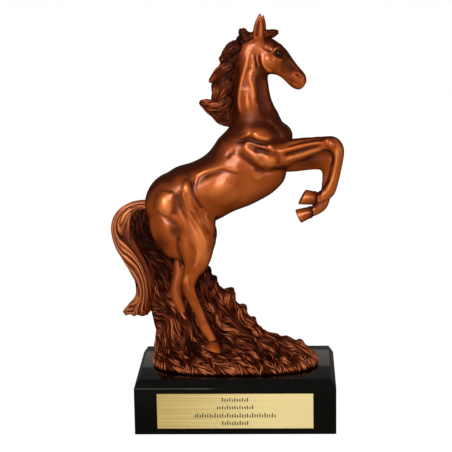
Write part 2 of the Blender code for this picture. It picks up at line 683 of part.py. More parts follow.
def build_plate(parts, cutters):
    """Thin plate on the plinth's front, with rows of shallow strokes sunk in its face."""
    length = PLINTH_LENGTH - 2 * PLATE_END_MARGIN
    height = PLINTH_HEIGHT - CHAMFER_HEIGHT - PLATE_FOOT_MARGIN - PLATE_TOP_MARGIN
    back = -PLINTH_DEPTH / 2 - FIT_GAP
    face = back - PLATE_THICKNESS
    mesh = bpy.data.meshes.new("name_plate")
    plate = bmesh.new()
    add_box(plate, (-length / 2, face, PLATE_FOOT_MARGIN), (length / 2, back, PLATE_FOOT_MARGIN + height))
    plate.to_mesh(mesh)
    plate.free()
    piece = add_piece("name_plate", mesh, parts, material("brushed_gold", (0.72, 0.55, 0.25), 0.35, 0.9))
    strokes = []
    for row, (from_top, row_share, stroke_share) in enumerate(INSCRIPTION):
        count = max(2, round(length * row_share / STROKE_PITCH))
        foot = PLATE_FOOT_MARGIN + height * (1 - from_top - stroke_share / 2)
        for i in range(count):
            tall = height * stroke_share * STROKE_HEIGHTS[(i + row) % len(STROKE_HEIGHTS)]
            left = (i - (count - 1) / 2) * STROKE_PITCH - STROKE_WIDTH / 2
            low = (left, face - STROKE_DEPTH, foot)
            strokes.append((low, (left + STROKE_WIDTH, face + STROKE_DEPTH, foot + tall)))
    cut(piece, "plate_strokes", strokes, cutters)


def main():
    """Clear the scene and build the trophy."""
    for old in list(bpy.data.objects):
        bpy.data.objects.remove(old)
    parts = bpy.data.collections.new("horse_trophy")
    cutters = bpy.data.collections.new("cutters")
    bpy.context.scene.collection.children.link(parts)
    bpy.context.scene.collection.children.link(cutters)
    build_casting(parts, cutters)
    build_plinth(parts)
    build_plate(parts, cutters)


main()
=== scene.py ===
"""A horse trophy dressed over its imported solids.

A rearing horse cast with its grassy mound in bronzed resin, on a black chamfered plinth with a brushed name
plate. Shapes are drawn in millimetres: X along the horse, its head at +X, Y across it, the plate at -Y, Z up
from the plinth's underside. Lines carved into the horse are given as the side view from the front shows them.
"""

import logging
import math
from collections.abc import Callable
from dataclasses import dataclass, field
from enum import Enum

import bmesh
import bpy
import numpy as np
from mathutils import Matrix, Vector
from mathutils.bvhtree import BVHTree


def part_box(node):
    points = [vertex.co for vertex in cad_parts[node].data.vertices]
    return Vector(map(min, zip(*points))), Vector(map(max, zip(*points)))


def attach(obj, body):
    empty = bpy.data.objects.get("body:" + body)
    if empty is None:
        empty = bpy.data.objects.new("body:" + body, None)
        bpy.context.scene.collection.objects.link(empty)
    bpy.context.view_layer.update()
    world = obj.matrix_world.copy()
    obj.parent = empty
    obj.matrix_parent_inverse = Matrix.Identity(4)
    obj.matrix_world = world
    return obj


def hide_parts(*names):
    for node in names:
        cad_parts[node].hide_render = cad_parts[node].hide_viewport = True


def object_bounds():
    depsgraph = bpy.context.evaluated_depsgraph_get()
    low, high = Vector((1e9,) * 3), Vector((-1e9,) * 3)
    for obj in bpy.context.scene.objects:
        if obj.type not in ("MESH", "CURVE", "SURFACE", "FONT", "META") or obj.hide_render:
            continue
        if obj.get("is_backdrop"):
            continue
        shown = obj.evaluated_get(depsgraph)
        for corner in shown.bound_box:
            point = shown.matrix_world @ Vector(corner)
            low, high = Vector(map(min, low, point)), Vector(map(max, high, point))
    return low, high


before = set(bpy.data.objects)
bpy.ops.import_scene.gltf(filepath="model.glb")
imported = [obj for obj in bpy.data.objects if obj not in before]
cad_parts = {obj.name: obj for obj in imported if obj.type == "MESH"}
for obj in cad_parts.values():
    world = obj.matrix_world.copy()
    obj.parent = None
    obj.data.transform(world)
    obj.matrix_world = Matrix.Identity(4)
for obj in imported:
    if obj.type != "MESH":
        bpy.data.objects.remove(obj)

LOG = logging.getLogger("horse_trophy")
MM = 0.001
TINY = 1e-9
LEAST_HALF = 0.3
POLE_GAP = 0.04
RESIN = "bronzed_resin"
LACQUER = "black_gloss"
Pair = tuple[float, float]
Rows = tuple[tuple[float, ...], ...]
Triple = tuple[float, float, float]
Colour = Triple
Feed = bpy.types.NodeSocket | float | str | tuple[float, ...]


def flowing(rows: Rows | np.ndarray, steps: int) -> np.ndarray:
    """Smooth curve through rows of numbers.

    Args:
        rows: the rows to pass through, the first and last included.
        steps: pieces between two rows.

    Returns:
        The rows of the curve.
    """
    rows = np.array(rows, dtype=float)
    ends = np.vstack([2 * rows[0] - rows[1], rows, 2 * rows[-1] - rows[-2]])
    share = (np.arange(steps) / steps)[:, None]
    curve = []
    for i in range(len(rows) - 1):
        a, b, c, d = ends[i:i + 4]
        curve.append(0.5 * (2 * b + (c - a) * share + (2 * a - 5 * b + 4 * c - d) * share ** 2
                            + (3 * b - a - 3 * c + d) * share ** 3))
    return np.vstack([*curve, rows[-1:]])


def stroke_line(course: Rows, steps: int) -> np.ndarray:
    """Points along a drawn stroke, which stays straight between two points."""
    return flowing(course, steps) if len(course) > 2 else np.array(course, dtype=float)


def unit_rows(rows: np.ndarray) -> np.ndarray:
    """Each row brought to length one."""
    return rows / np.maximum(np.linalg.norm(rows, axis=-1, keepdims=True), TINY)


def smoothstep(low: float, high: float, value: np.ndarray) -> np.ndarray:
    """Soft step from 0 at low to 1 at high."""
    share = np.clip((value - low) / (high - low), 0, 1)
    return share * share * (3 - 2 * share)


def straight_step(low: float, high: float, value: float) -> float:
    """Straight step from 0 at low to 1 at high."""
    return min(1, max(0, (value - low) / (high - low)))


def side_view(eye: Vector, x: np.ndarray, y: np.ndarray, z: np.ndarray) -> tuple[np.ndarray, np.ndarray]:
    """Where places show in the plane of the spine, both sides of the horse alike.

    Args:
        eye: where they are seen from.
        x: places along the horse, numbers or arrays.
        y: places across it.
        z: heights.

    Returns:
        The places along the horse and the heights in the view.
    """
    share = eye.y / (eye.y + abs(y))
    return eye.x + (x - eye.x) * share, eye.z + (z - eye.z) * share


def add_object(name: str, data: bpy.types.ID) -> bpy.types.Object:
    """New object in the scene.

    Args:
        name: its name.
        data: its mesh, lamp or camera.

    Returns:
        The object.
    """
    thing = bpy.data.objects.new(name, data)
    bpy.context.scene.collection.objects.link(thing)
    return thing


def paint_points(mesh: bpy.types.Mesh, label: str, values: np.ndarray) -> None:
    """Give each point of a mesh a number or a direction.

    Args:
        mesh: the mesh.
        label: the attribute's name.
        values: one number or one row for each point.
    """
    kind, key = ("FLOAT_VECTOR", "vector") if values.ndim == 2 else ("FLOAT", "value")
    layer = mesh.attributes.new(label, kind, "POINT")
    layer.data.foreach_set(key, values.astype(np.float32).ravel())


@dataclass
class Skin:
    """A surface: points in millimetres, faces, and the values painted on the points."""

    points: np.ndarray
    faces: list[tuple[int, ...]]
    paint: dict[str, np.ndarray] = field(default_factory=dict)

    @staticmethod
    def joined(skins: list["Skin"]) -> "Skin":
        """Several surfaces as one.

        Args:
            skins: the surfaces.

        Returns:
            One surface, with the paint that all of them have.
        """
        faces: list[tuple[int, ...]] = []
        start = 0
        for skin in skins:
            faces += [tuple(i + start for i in face) for face in skin.faces]
            start += len(skin.points)
        names = set.intersection(*(set(skin.paint) for skin in skins))
        paint = {name: np.concatenate([skin.paint[name] for skin in skins]) for name in sorted(names)}
        return Skin(np.vstack([skin.points for skin in skins]), faces, paint)

    def mesh(self, name: str, turn_outwards: bool = True) -> bpy.types.Mesh:
        """The surface as a smooth mesh in metres.

        Args:
            name: the mesh's name.
            turn_outwards: whether the faces still have to be turned outwards.

        Returns:
            The mesh, with the paint as its attributes.
        """
        mesh = bpy.data.meshes.new(name)
        mesh.from_pydata((self.points * MM).tolist(), [], self.faces)
        for label, values in self.paint.items():
            paint_points(mesh, label, values)
        if turn_outwards:
            work = bmesh.new()
            work.from_mesh(mesh)
            bmesh.ops.recalc_face_normals(work, faces=work.faces)
            work.to_mesh(mesh)
            work.free()
        mesh.shade_smooth()
        return mesh


@dataclass(frozen=True)
class HairRelief:
    """Locks and strands that run along a sweep of hair and turn about it.

    Each row of its wander and its fray is a wave: its size, and its turns round and along the sweep.
    """

    locks: int
    strands: int
    lock_depth: float
    strand_depth: float
    twist: float
    seed: int
    wander: Rows = ((0.4, 2, 6), (0.24, 3, -9))
    fray: Rows = ((0.1, 4, 11),)
    full_half: float = 4
    least_room: float = 0.15
    sharpness: float = 0.97

    def shape(self, along: np.ndarray, turn: np.ndarray, half: np.ndarray) -> tuple[np.ndarray, np.ndarray]:
        """How far the surface lies under the sweep, and how near it is to a ridge.

        Args:
            along: share of the way along the sweep, one column.
            turn: angle about the sweep, one row.
            half: half-thickness of the sweep, one column.

        Returns:
            The depth in millimetres and the ridge mask, as grids.
        """
        starts = iter(np.random.default_rng(self.seed).uniform(0, 2 * math.pi, 5))

        def waves(table: Rows) -> np.ndarray:
            """Sum of the waves of a table, each with the next start."""
            return sum(size * np.sin(a * turn + b * along + next(starts)) for size, a, b in table)

        course = turn + self.twist * along + waves(self.wander)
        lock = self.rounded(self.locks * course / (2 * math.pi) + next(starts))
        finer = course + waves(self.fray)
        strand = self.rounded(self.locks * self.strands * finer / (2 * math.pi) + next(starts))
        room = np.clip(half / self.full_half, self.least_room, 1)
        depth = room * (self.lock_depth * (1 - lock) + self.strand_depth * (1 - strand))
        return depth, (0.5 * lock + 0.5 * strand) ** 2

    def rounded(self, phase: np.ndarray) -> np.ndarray:
        """Round ridges, one for each whole number of the phase, with sharp valleys between them."""
        off = 2 * np.abs(phase - np.floor(phase) - 0.5)
        return np.sqrt(1 - self.sharpness * off ** 2)


def angles(sides: int) -> np.ndarray:
    """Even angles round a section, as one row."""
    return 2 * math.pi * np.arange(sides)[None, :] / sides


def tube(stations: Rows | np.ndarray, sides: int, steps: int, relief: HairRelief | None = None) -> Skin:
    """Closed tube of oval sections.

    Args:
        stations: rows of x, y, z, half-thickness in the side view and half-width across.
        sides: points round a section.
        steps: sections between two stations.
        relief: strands of hair on the tube.

    Returns:
        The tube, painted with its ridge mask.
    """
    rows = flowing(stations, steps)
    along = unit_rows(np.gradient(rows[:, :3], axis=0))
    thick = unit_rows(np.cross((0, 1, 0), along))
    wide = np.cross(along, thick)
    half = np.maximum(rows[:, 3:], LEAST_HALF)
    turn = angles(sides)
    depth = np.zeros((len(rows), sides))
    ridge = np.ones((len(rows), sides))
    if relief:
        depth, ridge = relief.shape(np.linspace(0, 1, len(rows))[:, None], turn, half[:, :1])
    aside = (np.cos(turn) * (half[:, :1] - depth))[..., None]
    across = (np.sin(turn) * (half[:, 1:] - depth))[..., None]
    grid = rows[:, None, :3] + thick[:, None] * aside + wide[:, None] * across
    return Skin(grid.reshape(-1, 3), ring_faces(len(rows), sides), {"ridge": ridge.ravel()})


def ring_faces(rings: int, sides: int) -> list[tuple[int, ...]]:
    """Faces of a closed run of rings of points.

    Args:
        rings: how many rings there are.
        sides: points in each.

    Returns:
        The faces between the rings and the two end faces.
    """
    i = np.arange(rings - 1)[:, None] * sides
    j = np.arange(sides)[None, :]
    k = (j + 1) % sides
    quads = np.stack(np.broadcast_arrays(i + j, i + k, i + k + sides, i + j + sides), -1).reshape(-1, 4)
    last = (rings - 1) * sides
    ends = [tuple(reversed(range(sides))), tuple(range(last, last + sides))]
    return [tuple(face) for face in quads.tolist()] + ends


def egg(centre: tuple[float, ...], half_sizes: tuple[float, ...], tilt: float, sides: int = 28) -> Skin:
    """Ellipsoid.

    Args:
        centre: its middle.
        half_sizes: its three half-sizes.
        tilt: its turn in the side view, in degrees.
        sides: points round it.

    Returns:
        The closed form.
    """
    ring = np.linspace(POLE_GAP, math.pi - POLE_GAP, sides // 2)[:, None]
    turn = angles(sides)
    across = np.sin(ring)
    ball = np.stack(np.broadcast_arrays(across * np.cos(turn), across * np.sin(turn), np.cos(ring)), -1)
    ball = ball.reshape(-1, 3) * np.array(half_sizes)
    c, s = math.cos(math.radians(tilt)), math.sin(math.radians(tilt))
    turned = np.stack([ball[:, 0] * c - ball[:, 2] * s, ball[:, 1], ball[:, 0] * s + ball[:, 2] * c], -1)
    return Skin(turned + np.array(centre), ring_faces(sides // 2, sides), {"ridge": np.ones(len(ball))})


class Side(Enum):
    """The side of the horse that a mark lies on."""

    BOTH = 0
    NEAR = -1


@dataclass(frozen=True)
class Touch:
    """How strongly marks are carved or painted: factors on lines, on pads, and on the widths of lines."""

    lines: float
    pads: float
    softness: float = 1


@dataclass(frozen=True)
class Line:
    """A line carved into the flesh or painted on it.

    Its depth is negative for a ridge. Its widths are the soft half-widths left and right of its course.
    """

    depth: float
    widths: Pair
    course: Rows
    side: Side = Side.BOTH
    reach: float = 2.6
    steps: int = 5
    fade: float = 0.16
    end: float = 0.03

    def raised(self, view: np.ndarray, touch: Touch) -> np.ndarray:
        """How far the line raises each point, fading at its ends.

        Args:
            view: the points in the side view.
            touch: how strongly the line is made.

        Returns:
            The rise of each point, negative where it is pressed in.
        """
        course = stroke_line(self.course, self.steps)
        reach = self.reach * max(self.widths) * touch.softness
        low, high = course.min(0) - reach, course.max(0) + reach
        chosen = np.flatnonzero(((view > low) & (view < high)).all(1))
        spots = view[chosen]
        nearest = np.full(len(spots), np.inf)
        leftwards = np.zeros(len(spots), dtype=bool)
        share = np.zeros(len(spots))
        runs = np.diff(course, axis=0)
        starts = np.concatenate([[0], np.cumsum(np.linalg.norm(runs, axis=1))])
        for a, run, start in zip(course, runs, starts):
            part = np.clip(((spots - a) @ run) / (run @ run), 0, 1)
            off = spots - a - part[:, None] * run
            distance = np.linalg.norm(off, axis=1)
            closer = distance < nearest
            nearest[closer] = distance[closer]
            leftwards[closer] = (run[0] * off[:, 1] - run[1] * off[:, 0] > 0)[closer]
            share[closer] = ((start + part * np.linalg.norm(run)) / starts[-1])[closer]
        width = np.where(leftwards, self.widths[0], self.widths[1]) * touch.softness
        begun = smoothstep(0, self.fade, share + self.end)
        left_over = smoothstep(0, self.fade, 1 + self.end - share)
        rise = np.zeros(len(view))
        rise[chosen] = -touch.lines * self.depth * begun * left_over * np.exp(-(nearest / width) ** 2)
        return rise


@dataclass(frozen=True)
class Pad:
    """A swelling, or a hollow where its rise is negative; a low crispness gives it a sharp foot."""

    rise: float
    centre: Pair
    radii: Pair
    tilt: float = 0
    crispness: float = 2
    side: Side = Side.BOTH

    def share(self, view: np.ndarray) -> np.ndarray:
        """How much of the pad each point has.

        Args:
            view: the points in the side view.

        Returns:
            A number from 0 to 1 for each point.
        """
        c, s = math.cos(math.radians(self.tilt)), math.sin(math.radians(self.tilt))
        off = view - np.array(self.centre)
        a = (off[:, 0] * c + off[:, 1] * s) / self.radii[0]
        b = (off[:, 1] * c - off[:, 0] * s) / self.radii[1]
        return np.clip(1 - a * a - b * b, 0, 1) ** self.crispness

    def raised(self, view: np.ndarray, touch: Touch) -> np.ndarray:
        """How far the pad raises each point of the side view."""
        return touch.pads * self.rise * self.share(view)


Marks = tuple[Line | Pad, ...]
NEAR = Side.NEAR


@dataclass(frozen=True)
class Spot:
    """A round spot of the side view, flattened by its squash."""

    x: float
    z: float
    radius: float
    squash: float = 1

    def has(self, place: Vector) -> bool:
        """Whether a place shows in the spot."""
        return math.hypot(place.x - self.x, (place.z - self.z) * self.squash) < self.radius


@dataclass
class Sculpting:
    """A fine closed skin that can be smoothed, carved and painted."""

    points: np.ndarray
    quads: np.ndarray
    edges: np.ndarray
    facing: float = 2.4
    near_from: float = 5
    crest_spread: int = 40
    crest_foot: float = -0.9

    @classmethod
    def fused(cls, name: str, forms: list[Skin], voxel: float) -> "Sculpting":
        """One skin round overlapping closed forms.

        Args:
            name: names the scratch objects.
            forms: the closed forms.
            voxel: fineness of the skin in millimetres.

        Returns:
            The skin, ready to be worked.
        """
        rough = add_object(name, Skin.joined(forms).mesh(name))
        remesh = rough.modifiers.new("fuse", "REMESH")
        remesh.mode = "VOXEL"
        remesh.voxel_size = voxel * MM
        ready = rough.evaluated_get(bpy.context.evaluated_depsgraph_get()).to_mesh()
        points = np.empty(len(ready.vertices) * 3)
        ready.vertices.foreach_get("co", points)
        quads = np.empty(len(ready.loops), dtype=np.int32)
        ready.loops.foreach_get("vertex_index", quads)
        edges = np.empty(len(ready.edges) * 2, dtype=np.int32)
        ready.edges.foreach_get("vertices", edges)
        bpy.data.objects.remove(rough)
        return cls(points.reshape(-1, 3) / MM, quads.reshape(-1, 4), edges.reshape(-1, 2))

    def relaxed(self, values: np.ndarray, times: int) -> np.ndarray:
        """Values on the points, each drawn halfway to its neighbours' mean again and again.

        Args:
            values: a number or a row for each point.
            times: how often they are drawn.

        Returns:
            The smoothed values.
        """
        a, b = self.edges.T
        count = np.bincount(self.edges.ravel(), minlength=len(self.points)).astype(float)
        values = values.copy() if values.ndim == 2 else values[:, None].copy()
        for _ in range(times):
            for k in range(values.shape[1]):
                near = np.bincount(a, values[b, k], len(values)) + np.bincount(b, values[a, k], len(values))
                values[:, k] += 0.5 * (near / count - values[:, k])
        return values if values.shape[1] > 1 else values[:, 0]

    def smooth(self, times: int) -> None:
        """Relax the points themselves a number of times."""
        self.points = self.relaxed(self.points, times)

    def normals(self) -> np.ndarray:
        """Outward direction at each point.

        Returns:
            One row of length one for each point.
        """
        corner = self.points[self.quads]
        face = np.cross(corner[:, 2] - corner[:, 0], corner[:, 3] - corner[:, 1])
        total = np.zeros_like(self.points)
        for k in range(4):
            for axis in range(3):
                total[:, axis] += np.bincount(self.quads[:, k], face[:, axis], len(total))
        return unit_rows(total)

    def marked(self, marks: Marks, eye: Vector, touch: Touch) -> np.ndarray:
        """Rise of all marks together; those of the near side end before the middle of the horse.

        Args:
            marks: the lines and pads.
            eye: where the side view is seen from.
            touch: how strongly they are made.

        Returns:
            The rise at each point.
        """
        view = np.stack(side_view(eye, *self.points.T), -1)
        near = np.clip(-self.points[:, 1] - self.near_from, 0, 1)
        total = np.zeros(len(view))
        for mark in marks:
            rise = mark.raised(view, touch)
            total += rise if mark.side is Side.BOTH else rise * near
        return total

    def carve(self, marks: Marks, eye: Vector, touch: Touch) -> None:
        """Carve marks into the surfaces that face sideways.

        Args:
            marks: the lines and pads.
            eye: where the side view is seen from.
            touch: how strongly they are carved.
        """
        normals = self.normals()
        facing = np.clip(np.abs(normals[:, 1]) * self.facing, 0, 1)
        self.points += normals * (facing * self.marked(marks, eye, touch))[:, None]

    def hollowness(self, times: int) -> np.ndarray:
        """How deep each point lies in its surroundings.

        Args:
            times: how often the surroundings are smoothed before they are compared.

        Returns:
            The depth of each point in millimetres, negative on a ridge.
        """
        smooth = self.relaxed(self.points, times)
        return np.einsum("ij,ij->i", smooth - self.points, self.normals())

    def crests(self, high: float, depth: float) -> np.ndarray:
        """Mask of the ridges.

        Args:
            high: where the mask is full, as a share of the depth.
            depth: height of a ridge in millimetres.

        Returns:
            A number from 0 in the valleys to 1 on the ridges.
        """
        return smoothstep(self.crest_foot, high, -self.hollowness(self.crest_spread) / depth)

    def skin(self, ridge: np.ndarray) -> Skin:
        """The worked surface with its ridge mask."""
        return Skin(self.points, [tuple(quad) for quad in self.quads.tolist()], {"ridge": ridge})


@dataclass
class Strand:
    """A path on a surface, with the surface's outward direction and ridge mask beside it."""

    places: list[Vector]
    outwards: list[Vector]
    crests: list[float]


@dataclass
class Comb:
    """Draws evenly spaced strands over a skin, along the way that guide strokes point."""

    skin: Skin
    guides: tuple[Rows, ...]
    eye: Vector
    spacing: float
    stride: float
    blur: float
    lowest: float = 37.3
    waves: float = 0
    room: float = 0.78
    steps: int = 6
    swing_along: float = 0.42
    swing_bend: float = 1.6
    swing_up: float = 0.17
    swing_across: float = 0.25

    def __post_init__(self) -> None:
        """Prepare the surface and the guide strokes."""
        self.tree = BVHTree.FromPolygons(self.skin.points.tolist(), self.skin.faces)
        lines = [stroke_line(stroke, self.steps) for stroke in self.guides]
        self.samples = np.vstack(lines)
        self.ways = np.vstack([unit_rows(np.gradient(line, axis=0)) for line in lines])
        self.taken: dict[tuple[int, int, int], list[Vector]] = {}

    def way(self, place: Vector, outward: Vector) -> Vector:
        """Direction of the strands.

        Args:
            place: where on the surface.
            outward: the surface's direction there.

        Returns:
            The direction along the surface.
        """
        x, z = side_view(self.eye, *place)
        apart = ((self.samples - (x, z)) ** 2).sum(1)
        weight = np.exp(-(apart - apart.min()) / (2 * self.blur ** 2))
        dx, dz = weight @ self.ways
        bend = self.swing_bend * math.sin(self.swing_up * z)
        swing = self.waves * math.sin(self.swing_along * x + bend + self.swing_across * place.y)
        c, s = math.cos(swing), math.sin(swing)
        lean = Vector((dx * c - dz * s, 0, dx * s + dz * c))
        along = lean - outward * lean.dot(outward)
        return along.normalized() if along.length > TINY else Vector((1, 0, 0))

    def cell(self, place: Vector) -> tuple[int, int, int]:
        """Grid cell of a place."""
        return tuple(math.floor(c / self.spacing) for c in place)

    def is_free(self, place: Vector) -> bool:
        """Whether no finished strand runs too near.

        Args:
            place: where on the surface.

        Returns:
            True where there is room.
        """
        i, j, k = self.cell(place)
        gap = self.spacing * self.room
        for spot in ((i + a, j + b, k + c) for a in (-1, 0, 1) for b in (-1, 0, 1) for c in (-1, 0, 1)):
            if any((place - other).length < gap for other in self.taken.get(spot, ())):
                return False
        return True

    def trace(self, place: Vector, strides: int) -> Strand:
        """Follow the flow until a neighbour stops it.

        Args:
            place: the start.
            strides: the most strides.

        Returns:
            The strand, perhaps too short to keep.
        """
        strand = Strand([], [], [])
        for _ in range(strides):
            found, outward, face, _ = self.tree.find_nearest(place)
            if found.z < self.lowest or not self.is_free(found):
                break
            strand.places.append(found)
            strand.outwards.append(outward)
            strand.crests.append(float(self.skin.paint["ridge"][self.skin.faces[face][0]]))
            place = found + self.way(found, outward) * self.stride
        return strand

    def strands(self, tries: int, strides: tuple[int, int], seed: int) -> list[Strand]:
        """Cover the skin with strands.

        Args:
            tries: how many starts are tried.
            strides: the least and the most strides of a strand.
            seed: fixes the starts.

        Returns:
            The strands that found room.
        """
        chance = np.random.default_rng(seed)
        corner = np.array([self.skin.points[list(face[:3])] for face in self.skin.faces if len(face) <= 4])
        area = np.linalg.norm(np.cross(corner[:, 1] - corner[:, 0], corner[:, 2] - corner[:, 0]), axis=1)
        starts = corner[chance.choice(len(corner), tries, p=area / area.sum())].mean(1)
        found = []
        for start, length in zip(starts, chance.integers(*strides, tries)):
            strand = self.trace(Vector(start), int(length))
            if len(strand.places) < strides[0] / 2 + 1:
                continue
            found.append(strand)
            for place in strand.places:
                self.taken.setdefault(self.cell(place), []).append(place)
        return found


@dataclass
class Wiring:
    """Adds nodes to a tree, each fed by constants or by what other nodes give."""

    tree: bpy.types.NodeTree

    @staticmethod
    def group(name: str, kind: str, takes: dict[str, str], gives: dict[str, str]) -> "Wiring":
        """New node group.

        Args:
            name: its name.
            kind: the type of its tree.
            takes: the socket type of each input.
            gives: the socket type of each output.

        Returns:
            The wiring of its tree.
        """
        tree = bpy.data.node_groups.new(name, kind)
        for way, sockets in (("INPUT", takes), ("OUTPUT", gives)):
            for label, socket_type in sockets.items():
                tree.interface.new_socket(label, in_out=way, socket_type=socket_type)
        return Wiring(tree)

    def feed(self, socket: bpy.types.NodeSocket, value: Feed) -> None:
        """Let a socket take a constant, or what another node gives.

        Args:
            socket: the input.
            value: the constant or the other node's output.
        """
        if isinstance(value, bpy.types.NodeSocket):
            self.tree.links.new(value, socket)
        else:
            socket.default_value = value

    def node(self, kind: str, inputs: dict[str | int, Feed], **options: object) -> bpy.types.Node:
        """New node.

        Args:
            kind: its type.
            inputs: what feeds its inputs.
            **options: its own settings, made before the inputs are fed.

        Returns:
            The node.
        """
        node = self.tree.nodes.new(kind)
        for label, value in options.items():
            setattr(node, label, value)
        for label, value in inputs.items():
            self.feed(node.inputs[label], value)
        return node

    def given(self) -> bpy.types.NodeOutputs:
        """What the group that is wired is given."""
        return self.node("NodeGroupInput", {}).outputs

    def place(self) -> bpy.types.NodeSocket:
        """The place in the piece's own coordinates."""
        return self.node("ShaderNodeTexCoord", {}).outputs["Object"]

    def part(self, vector: bpy.types.NodeSocket, axis: str) -> bpy.types.NodeSocket:
        """One part of a vector."""
        return self.node("ShaderNodeSeparateXYZ", {"Vector": vector}).outputs[axis]

    def noise(self, place: bpy.types.NodeSocket, scale: Feed, detail: float) -> bpy.types.NodeSocket:
        """Soft noise at a place, from 0 to 1."""
        inputs = {"Vector": place, "Scale": scale, "Detail": detail}
        return self.node("ShaderNodeTexNoise", inputs).outputs["Fac"]

    def math(self, operation: str, a: Feed, b: Feed) -> bpy.types.NodeSocket:
        """Result of an operation on two values."""
        return self.node("ShaderNodeMath", {0: a, 1: b}, operation=operation).outputs[0]

    def ramp(self, value: bpy.types.NodeSocket, ends: Pair, results: Pair = (0, 1),
             kind: str = "SMOOTHSTEP") -> bpy.types.NodeSocket:
        """Step of a value between two ends.

        Args:
            value: the value.
            ends: where the step begins and where it ends.
            results: what it gives there.
            kind: the course of the step.

        Returns:
            The stepped value.
        """
        inputs = {"Value": value, "From Min": ends[0], "From Max": ends[1], "To Min": results[0],
                  "To Max": results[1]}
        return self.node("ShaderNodeMapRange", inputs, interpolation_type=kind).outputs["Result"]

    def mix(self, factor: bpy.types.NodeSocket, a: Feed, b: Feed) -> bpy.types.NodeSocket:
        """Mix of two colours."""
        a, b = ((*value, 1) if isinstance(value, tuple) else value for value in (a, b))
        return self.node("ShaderNodeMix", {0: factor, 6: a, 7: b}, data_type="RGBA").outputs[2]

    def bump(self, height: bpy.types.NodeSocket, strength: float, distance: float) -> bpy.types.NodeSocket:
        """Direction of a surface that a height dents by a distance in metres."""
        inputs = {"Strength": strength, "Distance": distance, "Height": height}
        return self.node("ShaderNodeBump", inputs).outputs["Normal"]


